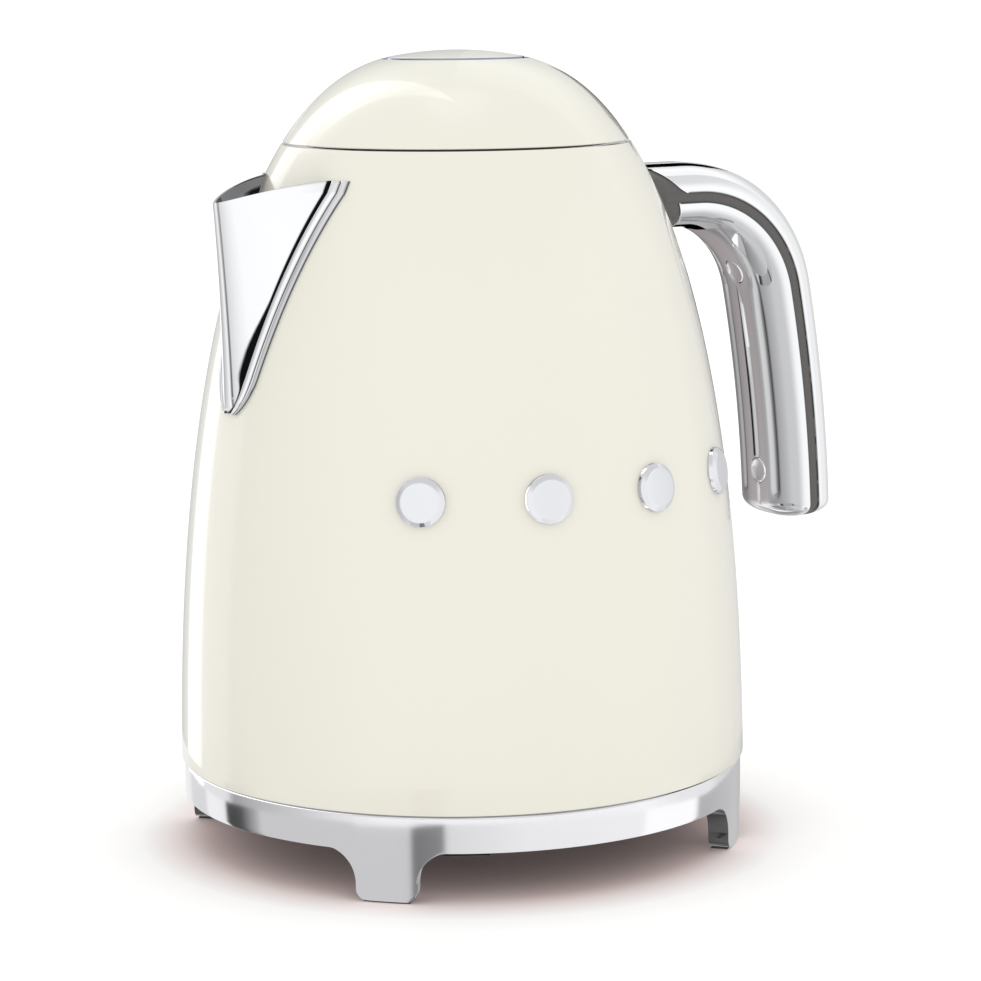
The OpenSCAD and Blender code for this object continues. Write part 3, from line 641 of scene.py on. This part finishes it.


# The border's section: share of the flange's width inwards from its edge, height over the body, and
# how dark it is painted there, as painted shade in the groove and valley. A flat lip, a fine groove, and a
# rolled bead that drops into the valley.
BORDER = [
    (0, 0.25, 0.9), (0.005, 0.6, 0.9), (0.03, 0.85, 0.4), (0.08, 0.95, 0), (0.18, 1.0, 0), (0.3, 0.98, 0),
    (0.35, 0.9, 0.2), (0.39, 0.72, 0.85), (0.43, 0.72, 0.9), (0.47, 0.9, 0.2), (0.5, 1.15, 0),
    (0.57, 1.45, 0), (0.66, 1.65, 0), (0.74, 1.65, 0), (0.81, 1.45, 0), (0.87, 1.15, 0.1), (0.92, 0.8, 0.8),
    (0.97, 0.6, 1),
]
SPINE_RIDGE = 0.7


def spine_half(t):
    """Half width of the rounded spine down the nose."""
    return min(1.35 + 1.3 * (1 - t), 0.42 * flange_half(t))


def wall_offsets(edge, spine):
    """Distances from the middle at which the side wall and the spine are sampled, from the valley in."""
    scale = min(1.0, edge / 10)
    near = [edge - d * scale for d in (0, 0.2, 0.4, 0.6, 0.8, 1.0, 1.25, 1.5, 1.8, 2.1, 2.5, 3.0, 3.6, 4.3)]
    wide = [near[-1] + (spine + 0.5 - near[-1]) * i / 16 for i in range(1, 17)]
    crease = [spine + d for d in (0.3, 0.15, 0.0, -0.12, -0.28)]
    ridge = [(spine - 0.28) * (1 - i / 7) for i in range(1, 8)]
    return near + wide + crease + ridge


def half_spout(t, inner):
    """Points with y >= 0 at one level, from the flange's edge to the nose, with each point's painted shade
    and painted reflection.
    """
    edge = flange_half(t)
    valley = max(0.5 * edge, edge - FLANGE_W)
    band = edge - valley
    sheet = SPOUT_SHEET if inner else 0
    foot = on_body(valley - min(sheet, valley * 0.4), t, 0.25 if inner else 0.35)
    tip = nose(t, sheet + (0 if inner else SPINE_RIDGE * 0.5))
    rows = [(on_body(edge - share * band, t, 0.15 if inner else height), 0 if inner else dark)
            for share, height, dark in BORDER]
    ease = 0.05 + 0.07 * (1 - t)
    full = (1 + ease**2) ** 0.75 - ease**1.5
    spine = spine_half(t) * min(1, foot[1] / valley)
    # Width of the painted dark wedge by the valley, a painted reflection that is widest low on the spout.
    wedge = 0.85 + 1.7 * smooth_step((0.52 - t) / 0.26) * smooth_step((t - 0.1) / 0.1)
    for y in wall_offsets(foot[1], spine):
        f = max(0.0, y / foot[1])
        g = ((f * f + ease**2) ** 0.75 - ease**1.5) / full
        rise = 1.6 * g - 0.6 * g * g
        x, z = tip[0] + (foot[0] - tip[0]) * g, tip[2] + (foot[2] - tip[2]) * rise
        # Painted shade: the inner face of the spout is painted dark.
        dark = 0.8
        if not inner:
            x -= SPINE_RIDGE * math.sqrt(1 - (y / spine) ** 2) if y < spine else 0
            # Painted reflections: a dark line painted along the spine's crease, and the dark wedge painted by
            # the valley.
            crease = (0.95 - 0.3 * t) * smooth_step(1 - abs(y - spine) / 0.38)
            dark = max(smooth_step(3.5 * (1 - (foot[1] - y) / wedge)), crease)
        rows.append(((x, y, z), dark))
    return rows


def spout():
    """The folded sheet of the spout, as closed rings from its foot up to its rim."""
    rings, painted_shade_values = [], []
    for t in spout_levels():
        outer, inner = half_spout(t, False), half_spout(t, True)
        ring = outer + [((x, -y, z), d) for (x, y, z), d in outer[-2::-1]]
        ring += [((x, -y, z), d) for (x, y, z), d in inner] + inner[-2::-1]
        rings.append([p for p, _ in ring])
        painted_shade_values += [d for _, d in ring]
    count = len(rings[0])
    points = [p for ring in rings for p in ring]
    faces = grid_faces(len(rings), count, False, True)
    half = count // 2
    for start in (0, len(points) - count):
        end = start + count - 1
        faces += [(start + k, start + k + 1, end - 1 - k, end - k) for k in range(half - 1)]
    made = new_object("spout", points, faces, painted_shade_values)
    bevel(made, 0.25, 2, 62)
    return settle(made, "jug", "spout_chrome", "spout", angle=40)


# ---- Handle ----


ARM_START_X = 58.0
END_ROUND = 6.0
END_POWER = 2.2


class HandleLine:
    """The handle's middle line: straight arm, bend and long curve, by distance in millimetres."""

    def __init__(self):
        self.arm = BEND_X - ARM_START_X
        self.bend = math.radians(90 - GRIP_TOP_LEAN) * BEND_R
        self.grip = math.radians(GRIP_TOP_LEAN - GRIP_END_LEAN) * GRIP_R
        self.length = self.arm + self.bend + self.grip
        self.bend_centre = (BEND_X, HANDLE_Z - BEND_R)
        lean = math.radians(GRIP_TOP_LEAN)
        self.grip_centre = self.on_arc(self.bend_centre, BEND_R - GRIP_R, lean)

    @staticmethod
    def on_arc(centre, radius, angle):
        return centre[0] + radius * math.cos(angle), centre[1] + radius * math.sin(angle)

    def at(self, s):
        """x, z and the outward angle in radians at distance s from the arm's start."""
        if s < self.arm:
            return ARM_START_X + s, HANDLE_Z, math.pi / 2
        if s < self.arm + self.bend:
            a = math.pi / 2 - (s - self.arm) / BEND_R
            return *self.on_arc(self.bend_centre, BEND_R, a), a
        a = math.radians(GRIP_TOP_LEAN) - (s - self.arm - self.bend) / GRIP_R
        return *self.on_arc(self.grip_centre, GRIP_R, a), a

    def place(self, s, depth, y):
        x, z, a = self.at(s)
        return (x + depth * math.cos(a), y, z + depth * math.sin(a))

    def distance_on_bend(self, degrees):
        return self.arm + math.radians(90 - degrees) * BEND_R

    def distance_on_grip(self, degrees):
        return self.arm + self.bend + math.radians(GRIP_TOP_LEAN - degrees) * GRIP_R


LINE = HandleLine()
PLUGS = [LINE.distance_on_bend(25), LINE.distance_on_grip(3.65)]


def end_scale(s):
    """Size of the section at distance s, as a share: it shrinks to nothing round the handle's end."""
    share = max(0.0, (s - (LINE.length - END_ROUND)) / END_ROUND)
    return (1 - min(1.0, share) ** END_POWER) ** (1 / END_POWER)


def blunt(v):
    """A sine or cosine turned into the matching coordinate of the handle's squarish section."""
    return math.copysign(abs(v) ** (2 / SECTION_POWER), v)


def pressed_in(s, y):
    """How far the inner face is pressed in, and how dark it is painted there, as painted shade and painted
    reflections: two long finger grooves, a narrow channel between the plugs with one painted dark rim, and a
    short channel below the lower plug."""
    start, end = LINE.distance_on_bend(50), LINE.distance_on_grip(GRIP_END_LEAN + 0.9)
    side, side_away = channel(s, abs(y) - GROOVE_Y, start, end, GROOVE_HALF_W, GROOVE_DEPTH)
    start, end = PLUGS[0] + PLUG_CLEAR, PLUGS[1] - PLUG_CLEAR
    middle, _ = channel(s, y + 0.3, start, end, MIDDLE_HALF_W, MIDDLE_DEPTH)
    tail, _ = channel(s, y, PLUGS[1] + PLUG_CLEAR, LINE.length - 4, TAIL_HALF_W, TAIL_DEPTH)
    rim = channel(s, y - 1.35, PLUGS[0] + 4, PLUGS[1] - 4, 0.8, 1.0)[1]
    # Painted shade down the grooves' middles and a painted reflection as a dark line on one rim of the middle
    # channel.
    dark = max(0.72 * smooth_step(2.0 * (0.62 - side_away)), smooth_step(1.8 * (1 - rim)))
    return max(side, middle, tail), dark


def channel(s, across, start, end, half_width, depth):
    """Depth of a channel whose upper end is a long point and whose lower end is round, and how far
    from its middle the place is, as a share of its half width."""
    taper = min(1.0, 0.12 + max(0.0, s - start) / 40)
    over = max(start + half_width - s, s - (end - half_width), 0.0)
    away = min(1.0, math.hypot(over, across) / (half_width * taper))
    return depth * (1 - smooth_step(away)), away


def handle_rows(start):
    """Distances along the handle, closer together round its end."""
    plain = spaced(start, LINE.length - END_ROUND, int((LINE.length - END_ROUND - start) / 1.1))
    turn = [LINE.length - END_ROUND * (1 - math.sin(math.radians(a))) for a in spaced(0, 90, 14)]
    return plain + turn[1:]


def shell_section(depth, half_w, side, steps, low=0.0):
    """Half of the rounded section, as (outwards, across) points, down to a lowest depth at both ends."""
    first = math.asin((low / depth) ** (SECTION_POWER / 2))
    return [(side * depth * blunt(math.sin(a)), half_w * blunt(math.cos(a)))
            for a in spaced(first, math.pi - first, steps)]


def swell(s, depth):
    """Depth of the outer half at distance s: slimmer along the arm, full round the bend and down the grip."""
    return depth - (HANDLE_OUT - ARM_OUT) * (1 - smooth_step((s - LINE.arm) / 26))


def handle_half(name, depth, side, start, grooved=False, steps=72):
    """One half of the handle's casing: the outside and the hollow, joined along the seam."""
    base = SEAM_T / 2
    hollow_share = (LINE.length - SHELL_T - start) / (LINE.length - start)
    rings, painted_shade_values = [], []
    for s in handle_rows(start):
        k = end_scale(s)
        full = swell(s, depth) if side > 0 else depth
        ring = []
        for d, y in shell_section(full, HANDLE_HALF_W, side, steps, base + 0.05):
            share = abs(d) / full
            pressed, dark = pressed_in(s, y * k) if grooved else (0.0, 0.0)
            facing = smooth_step((share - 0.75) / 0.15)
            # Painted reflection: a grey band painted along the flanks of the grooved half.
            painted_flank_dark = 0.42 * smooth_step((share - 0.3) / 0.25) * smooth_step((1 - share) / 0.06)
            d = side * max(base + 0.05, (abs(d) - pressed * facing) * k)
            ring.append(LINE.place(s, d, y * k))
            # Painted shade along the seam on both halves, within 0.18 of the section's depth from it, beside
            # the grooved half's painted darks.
            painted_shade_values.append(max(dark * facing, painted_flank_dark if grooved else 0.0, 0.9 * (share < 0.18)))
        hollow_s = start + (s - start) * hollow_share
        hollow_k = end_scale(hollow_s + SHELL_T)
        for d, y in shell_section(full - SHELL_T, HANDLE_HALF_W - SHELL_T, side, steps)[::-1]:
            d = side * max(base - 0.6, (abs(d) - (0.3 if grooved else 0)) * hollow_k)
            ring.append(LINE.place(hollow_s, d, y * hollow_k))
            painted_shade_values.append(0.0)
        rings.append(ring)
    count = len(rings[0])
    points = [p for ring in rings for p in ring]
    faces = grid_faces(len(rings), count, False, True)
    half = count // 2
    faces += [(k, k + 1, count - 2 - k, count - 1 - k) for k in range(half - 1)]
    return new_object(name, points, faces, painted_shade_values)


def body_clearance(grow):
    """Solid of the body's outline beside the handle, as a cutter."""
    edge = [(outline_radius(z) + grow, z) for z in spaced(165, 217, 40)]
    return revolve("body_clearance", [(1, 165)] + edge + [(1, 217)], 192)


def side_prism(name, outline, shift_x=0.0, shift_z=0.0):
    """Prism right across the handle from an outline in x and height above the seam."""
    points = [(x + shift_x, 0, HANDLE_Z + h + shift_z) for x, h in outline]
    return prism(name, points, (0, -40, 0), (0, 40, 0))


def rounded_shoulder():
    """The shoulder's edge with its corners eased, by repeated cutting of the corners."""
    line = SHOULDER_EDGE
    for _ in range(3):
        cut = [line[0]]
        for (x0, h0), (x1, h1) in zip(line, line[1:]):
            cut += [(a * x0 + (1 - a) * x1, a * h0 + (1 - a) * h1) for a in (0.75, 0.25)]
        line = cut + [line[-1]]
    return line


def handle_outer_shell():
    """The chrome half away from the body, cut back over the arm to the collar's shoulder."""
    shell = handle_half("handle_outer_shell", HANDLE_OUT, 1, 0)
    boolean(shell, body_clearance(0.3))
    boolean(shell, side_prism("cut", [(40, -20), (40, 15.4)] + rounded_shoulder() + [(74.5, -20)], 0.1, 0.1))
    bevel(shell, 0.22, 3, 60)
    return settle(shell, "jug", "handle_chrome", "handle_outer_shell", angle=45)


def plug_frames():
    """Centre on the inner face's middle line, and the direction out of the face, for each plug."""
    for s in PLUGS:
        a = LINE.at(s)[2]
        yield Vector(LINE.place(s, -HANDLE_IN, 0)), Vector((-math.cos(a), 0, -math.sin(a)))


def handle_inner_shell():
    """The grooved chrome half towards the body, with holes for the two plugs."""
    shell = handle_half("handle_inner_shell", HANDLE_IN, -1, 0, True, 160)
    boolean(shell, side_prism("cut", [(40, 0), (71.3, 0)] + THROAT_EDGE + [(40, -12.2)], 0.2))
    for centre, out in plug_frames():
        boolean(shell, rod("plug_hole", PLUG_R + 0.15, centre - 6 * out, centre + 6 * out))
    bevel(shell, 0.2, 2, 60)
    return settle(shell, "jug", "handle_chrome", "handle_inner_shell", angle=45)


def handle_plugs():
    """Two flush discs with a rolled rim that cover the grip's screws."""
    rim = 0.5
    profile = [(0, 0.0), (PLUG_R - 1.1, 0.0), (PLUG_R - 0.9, 0.12)]
    profile += arc((PLUG_R - rim, 0.2 - rim), rim, 110, 0, 8) + [(PLUG_R, -1.7), (0, -1.7)]
    discs = []
    for centre, out in plug_frames():
        disc = revolve("plug", profile, 72)
        turn = out.to_track_quat("Z", "Y").to_matrix().to_4x4()
        disc.data.transform(Matrix.Translation(centre * MM) @ turn)
        discs.append(disc)
    return settle(joined("handle_plugs", discs), "jug", "handle_chrome", "handle_plugs")


def collar():
    """Dark solid between body and shells, arched on top where the outer shell is cut away."""
    upper = shell_section(ARM_OUT - 0.3, HANDLE_HALF_W - 0.4, 1, 48)
    lower = shell_section(HANDLE_IN - 0.1, HANDLE_HALF_W - 0.4, -1, 48)[::-1]
    outline = [(0, y, HANDLE_Z + d) for d, y in upper + lower[1:-1]]
    whole = prism("collar", outline, (ARM_START_X, 0, 0), (78, 0, 0))
    keep = [(50, -20), (50, 15.4)] + rounded_shoulder() + THROAT_EDGE + [(75.5, -20)]
    boolean(whole, side_prism("keep", keep), "INTERSECT")
    return whole


def handle_core():
    """Collar and seam plate, which shows as a dark line between the two chrome halves."""
    w, half_t, reach = HANDLE_HALF_W - 0.35, SEAM_T / 2, 1 - 0.3 / LINE.length
    corners = [(half_t, -w), (half_t, w), (-half_t, w), (-half_t, -w)]
    rows = handle_rows(8)
    points = [LINE.place(s * reach, d, y * end_scale(s)) for s in rows for d, y in corners]
    plate = new_object("plate", points, grid_faces(len(rows), 4, False, True) + [(3, 2, 1, 0)])
    whole = collar()
    boolean(whole, plate, "UNION")
    boolean(whole, body_clearance(0.25))
    bevel(whole, 0.25, 2, 50)
    return settle(whole, "jug", "handle_dark", "handle_core", angle=40)


# ---- Studs, lever and window ----


def badge_studs():
    """Four plain polished buttons with a domed face and a chamfered rim."""
    low, high = box_mm("badge_studs")
    z = (low.z + high.z) / 2
    lean = math.atan((outline_radius(z - 5) - outline_radius(z + 5)) / 10)
    face = [(f * (STUD_R - 1.5), 2.35 + 0.2 * (1 - f * f)) for f in spaced(0, 1, 10)]
    profile = face + [(STUD_R - 1.2, 2.2), (STUD_R - 0.25, 1.5)] + arc((STUD_R - 0.3, 1.2), 0.3, 60, 0, 4)
    profile += [(STUD_R, 0.2), (STUD_R - 0.8, 0.05), (0, 0.05)]
    studs = []
    for i in range(4):
        stud = revolve("stud", profile, 96)
        out = Matrix.Rotation(math.radians(-90 + STUD_STEP * (i - 1.5)), 4, "Z")
        tip = Matrix.Rotation(math.pi / 2 - lean, 4, "Y")
        stud.data.transform(out @ Matrix.Translation(Vector((outline_radius(z), 0, z)) * MM) @ tip)
        studs.append(stud)
    return settle(joined("badge_studs", studs), "jug", "stud_chrome", "badge_studs")


# CAD pieces that are shown as copies with rounded edges, and the width of the rounding.
SOFTENED = {
    "foot_pads": 0.25, "base_tray": 0.5, "base_under_cover": 0.5, "cord_spool": 0.4, "cord_gland": 0.4,
    "base_connector": 0.4, "connector_contacts": 0.1, "base_screws": 0.15, "jug_coupler": 0.4,
    "jug_bottom_cover": 0.4, "heating_plate": 0.3, "control_unit": 0.4, "lever_bracket": 0.25,
    "spout_filter_frame": 0.3, "water_window": 0.15, "window_frame": 0.25, "neck_ring": 0.3,
    "hinge_bracket": 0.3, "hinge_pin": 0.15, "grip_screws": 0.12, "handle_bracket": 0.3,
    "handle_screws": 0.15, "power_lever": 0.5, "lever_knob": 0.5, "lid_carrier": 0.3,
    "lid_inner_cover": 0.5, "lid_hinge_arm": 0.35, "lid_screws": 0.15, "button_stem": 0.2,
    "lid_latch": 0.25, "plate_seal": 0.1, "heating_element": 0.1, "bimetal_discs": 0.1,
    "steam_tube": 0.15, "lever_pin": 0.1, "filter_mesh": 0.02, "hinge_spring": 0.05,
    "lid_gasket": 0.15, "button_spring": 0.05,
}
# Pieces whose finish differs from the rest of their slot.
FINISH = {"neck_ring": "body_paint", "lid_carrier": "body_paint", "lid_inner_cover": "white_plastic"}


def softened(node, width, angle=35):
    """A copy of a CAD node with its edges rounded, in its place. The button's spring is only baked in
    place and fastened to neither lid nor button."""
    copy = bpy.data.objects.new(node + "_soft", nodes[node].data.copy())
    bpy.context.scene.collection.objects.link(copy)
    bm = bmesh.new()
    bm.from_mesh(copy.data)
    bmesh.ops.remove_doubles(bm, verts=bm.verts, dist=5e-6)
    bmesh.ops.dissolve_limit(bm, angle_limit=math.radians(1), verts=bm.verts, edges=bm.edges)
    bm.to_mesh(copy.data)
    bm.free()
    bevel(copy, width, 2, angle)
    body = next(name for name, empty in frame["bodies"].items() if nodes[node].parent is empty)
    if node == "button_spring":
        low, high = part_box(node)
        body = ("lid", "button", (0, 0, low.z), (0, 0, high.z))
    return settle(copy, body, SLOTS[node], node, material=FINISH.get(node), angle=angle)


# ---- Stage: floor, lights and camera ----

TO_CAMERA = Vector((-0.523, -0.8523, 0)).normalized()
TO_RIGHT = Vector((-TO_CAMERA.y, TO_CAMERA.x, 0))
CAMERA_PLACE = (-0.5230, -0.8704, 0.2715)
CAMERA_TURN = (-31.54, 90 - 9.133, -0.540)
FLOOR_REACH = 40000


def camera():
    """Portrait lens a metre away, above the spout's left, at the height of the lid."""
    data = bpy.data.cameras.new("camera")
    data.sensor_width, data.lens = 36, 120.96
    made = bpy.data.objects.new("camera", data)
    bpy.context.scene.collection.objects.link(made)
    made.location = CAMERA_PLACE
    heading, pitch, roll = (Matrix.Rotation(math.radians(a), 4, axis) for a, axis in zip(CAMERA_TURN, "ZXZ"))
    made.rotation_euler = (heading @ pitch @ roll).to_euler()
    bpy.context.scene.camera = made


def floor():
    """Pale seamless floor with a painted warm shadow under the kettle. Metal mirrors the panels in its place.
    """
    corners = [(FLOOR_REACH * x, FLOOR_REACH * y, 0) for x, y in ((-1, -1), (1, -1), (1, 1), (-1, 1))]
    made = new_object("floor", corners, [(0, 1, 2, 3)])
    s = Shader("floor_paint", (0.94, 0.925, 0.918), 0.9, Specular_IOR_Level=0.0)
    s.vary_color(s.noise(3.0), 0.004)
    # Painted shadow: warm brown within 0.08 m of the kettle's axis, fading out by 0.102 m.
    reach = s.node("ShaderNodeVectorMath", {0: s.coords}, operation="LENGTH")
    under = s.node("ShaderNodeMapRange", {"Value": reach.outputs["Value"]}, From_Min=0.102, From_Max=0.08)
    s.turn_to(under.outputs[0], (0.81, 0.65, 0.62))
    made.data.materials.append(s.material)
    made.visible_glossy = False


# Brightness of the studio's panels round the kettle: angle from the camera, to its right, in degrees.
AROUND = [
    (-180, 0.5), (-151, 0.55), (-149, 1.6), (-133, 1.6), (-131, 0.78), (-110, 0.78), (-106, 0.36),
    (-95, 0.45), (-70, 0.6), (-50, 0.78), (-34, 0.93), (-12, 0.95), (40, 0.9), (78, 0.95), (100, 0.82),
    (122, 0.82), (128, 0.7), (150, 0.64), (180, 0.6),
]
# Brightness overhead, by angle above the horizon, in front of the kettle and behind it.
OVERHEAD_FRONT = [(0, 0.75), (60, 0.68), (74, 0.7), (80, 1.0), (90, 1.0)]
OVERHEAD_BACK = [(0, 0.74), (24, 0.9), (40, 0.95), (70, 0.85), (80, 1.0), (90, 1.0)]
# How much brighter the overhead light is round the left, by the same angle as the panels.
OVERHEAD_LEFT = [(-180, 0.8), (-151, 0.8), (-149, 2.4), (-126, 2.4), (-122, 1), (180, 1)]
# Low panels round the base ring, by the same angle.
RING_PANELS = [
    (-180, 0.93), (-121, 0.93), (-119, 0.78), (-102, 0.78), (-100.5, 1.0), (-86.6, 1.0), (-86, 0.05),
    (-77, 0.1), (-69, 0.5), (-68.4, 0.67), (-14.8, 0.67), (-14.2, 0.2), (-4.8, 0.28), (-4.2, 0.8),
    (20, 0.95), (59, 1.0), (60, 1.15), (85, 1.15), (87, 0.5), (120, 0.62), (140, 0.5), (180, 0.5),
]
RING_PANEL_R = 170
RING_PANEL_COUNT = 180
# Brightness of the card behind the grip, by height in metres.
GRIP_PANEL = [(0.02, (0.8, 0.79, 0.79)), (0.06, (0.42, 0.39, 0.39)), (0.14, (0.33, 0.3, 0.3)),
              (0.19, (0.26, 0.24, 0.24)), (0.215, (0.5, 0.49, 0.49)), (0.24, (0.9, 0.9, 0.9))]
PANEL_POWER = 1.12
# Soft light on paint and floor by angle above the horizon: a little stronger and warmer low down.
SOFT_LIGHT = [(0, (1.3, 1.26, 1.25)), (12, (1.26, 1.27, 1.27)), (90, (1.26, 1.28, 1.28))]


def ramp(tree, value, low, high, stops):
    """Brightness or colour by a value that runs from low to high, through the given stops."""
    scaled = add_node(tree, "ShaderNodeMapRange", {"Value": value}, From_Min=low, From_Max=high)
    made = add_node(tree, "ShaderNodeValToRGB", {0: scaled.outputs[0]})
    elements = made.color_ramp.elements
    while len(elements) < len(stops):
        elements.new(0.5)
    for element, (at, level) in zip(elements, stops):
        element.position = (at - low) / (high - low)
        element.color = (*(level if isinstance(level, tuple) else (level, level, level)), 1)
    return made.outputs[0]


class Directions:
    """Angles of a direction in a node tree: round from the camera to its right, and above the horizon."""

    def __init__(self, tree, direction):
        self.tree, self.direction = tree, direction
        self.forward = self.dot(TO_CAMERA)
        round_turn = self.math("ARCTAN2", self.dot(TO_RIGHT), self.forward)
        self.azimuth = self.math("MULTIPLY", round_turn, 180 / math.pi)
        self.height = self.math("MULTIPLY", self.math("ARCSINE", self.dot(Vector((0, 0, 1)))), 180 / math.pi)

    def dot(self, axis):
        made = add_node(self.tree, "ShaderNodeVectorMath", {0: self.direction}, operation="DOT_PRODUCT")
        made.inputs[1].default_value = axis
        return made.outputs["Value"]

    def math(self, operation, a, b=None):
        made = add_node(self.tree, "ShaderNodeMath", operation=operation)
        for value, socket in zip((a, b), made.inputs):
            if isinstance(value, (int, float)):
                socket.default_value = value
            elif value is not None:
                self.tree.links.new(value, socket)
        return made.outputs[0]

    def mix(self, fac, a, b):
        return add_node(self.tree, "ShaderNodeMix", {0: fac, 6: a, 7: b}, data_type="RGBA").outputs[2]


def studio():
    """Soft even light for the paint and floor, and bright and dark panels for the metal to mirror."""
    world = bpy.data.worlds.new("studio")
    bpy.context.scene.world = world
    world.use_nodes = True
    tree = world.node_tree
    toward = Directions(tree, add_node(tree, "ShaderNodeTexCoord").outputs["Generated"])
    around = ramp(tree, toward.azimuth, -180, 180, AROUND)
    front = ramp(tree, toward.height, 0, 90, OVERHEAD_FRONT)
    back = ramp(tree, toward.height, 0, 90, OVERHEAD_BACK)
    overhead = add_node(tree, "ShaderNodeVectorMath", {
        0: toward.mix(toward.math("LESS_THAN", toward.forward, -0.35), front, back),
        1: ramp(tree, toward.azimuth, -180, 180, OVERHEAD_LEFT),
    }, operation="MULTIPLY")
    above = add_node(tree, "ShaderNodeMapRange", {"Value": toward.height}, From_Min=22, From_Max=40)
    panels = toward.mix(above.outputs[0], around, overhead.outputs[0])
    lit = add_node(tree, "ShaderNodeVectorMath", {0: panels}, operation="SCALE", Scale=PANEL_POWER)
    soft = ramp(tree, toward.height, 0, 90, SOFT_LIGHT)
    glossy = add_node(tree, "ShaderNodeLightPath").outputs["Is Glossy Ray"]
    tree.links.new(toward.mix(glossy, soft, lit.outputs[0]), tree.nodes["Background"].inputs["Color"])


def studio_card(name, vertices, faces, level):
    """A lit or black card beside the kettle that only polished metal sees. Its level is a brightness, or
    a function that makes the colour's source in the card's node tree."""
    made = new_object(name, vertices, faces)
    material = bpy.data.materials.new(name)
    material.use_nodes = True
    tree = material.node_tree
    tree.nodes.remove(tree.nodes["Principled BSDF"])
    light = add_node(tree, "ShaderNodeEmission")
    if callable(level):
        tree.links.new(level(tree), light.inputs["Color"])
    else:
        light.inputs["Color"].default_value = (level, level, level, 1)
    tree.links.new(light.outputs[0], tree.nodes["Material Output"].inputs["Surface"])
    made.data.materials.append(material)
    made.visible_camera = made.visible_diffuse = made.visible_shadow = made.visible_transmission = False


def flat_card(name, left, right, low, high, level):
    """Upright card between two points of the floor plan."""
    corners = [(*left, low), (*right, low), (*right, high), (*left, high)]
    studio_card(name, corners, [(0, 1, 2, 3)], level)


def cards():
    """Low panels round the base ring, a grey card behind the grip and two black ones by the arm."""
    wall = []
    for i in range(RING_PANEL_COUNT):
        a = 2 * math.pi * i / RING_PANEL_COUNT
        side = Vector((math.cos(a), math.sin(a), 0))
        foot = (RING_PANEL_R * side).xy
        wall += [(*foot, -60), (*foot, 2 + 15 * max(0, side.dot(TO_CAMERA)))]

    def ring_light(tree):
        place = add_node(tree, "ShaderNodeTexCoord").outputs["Object"]
        return ramp(tree, Directions(tree, place).azimuth, -180, 180, RING_PANELS)

    def grip_light(tree):
        place = add_node(tree, "ShaderNodeTexCoord").outputs["Object"]
        height = add_node(tree, "ShaderNodeSeparateXYZ", {0: place}).outputs["Z"]
        return ramp(tree, height, 0.02, 0.24, GRIP_PANEL)

    studio_card("ring_panels", wall, grid_faces(RING_PANEL_COUNT, 2, True, False), ring_light)
    flat_card("grip_card", (-25, 127), (150, 98), 20, 240, grip_light)
    flat_card("arm_flag", (92, 70), (170, 70), 227, 262, 0.0)
    flat_card("under_arm_flag", (128, 150), (235, 150), 70, 162, 0.0)


# ---- Build ----

camera()
floor()
studio()
cards()
bpy.context.scene.view_settings.view_transform = "Standard"

for node_name, piece in nodes.items():
    piece.data.materials.clear()
    piece.data.materials.append(MATERIALS[SLOTS[node_name]])

body_shell()
lid_shell()
button_bezel()
lid_button()
base_ring()
spout()
handle_outer_shell()
handle_inner_shell()
handle_plugs()
handle_core()
badge_studs()
for node_name, width in SOFTENED.items():
    softened(node_name, width)
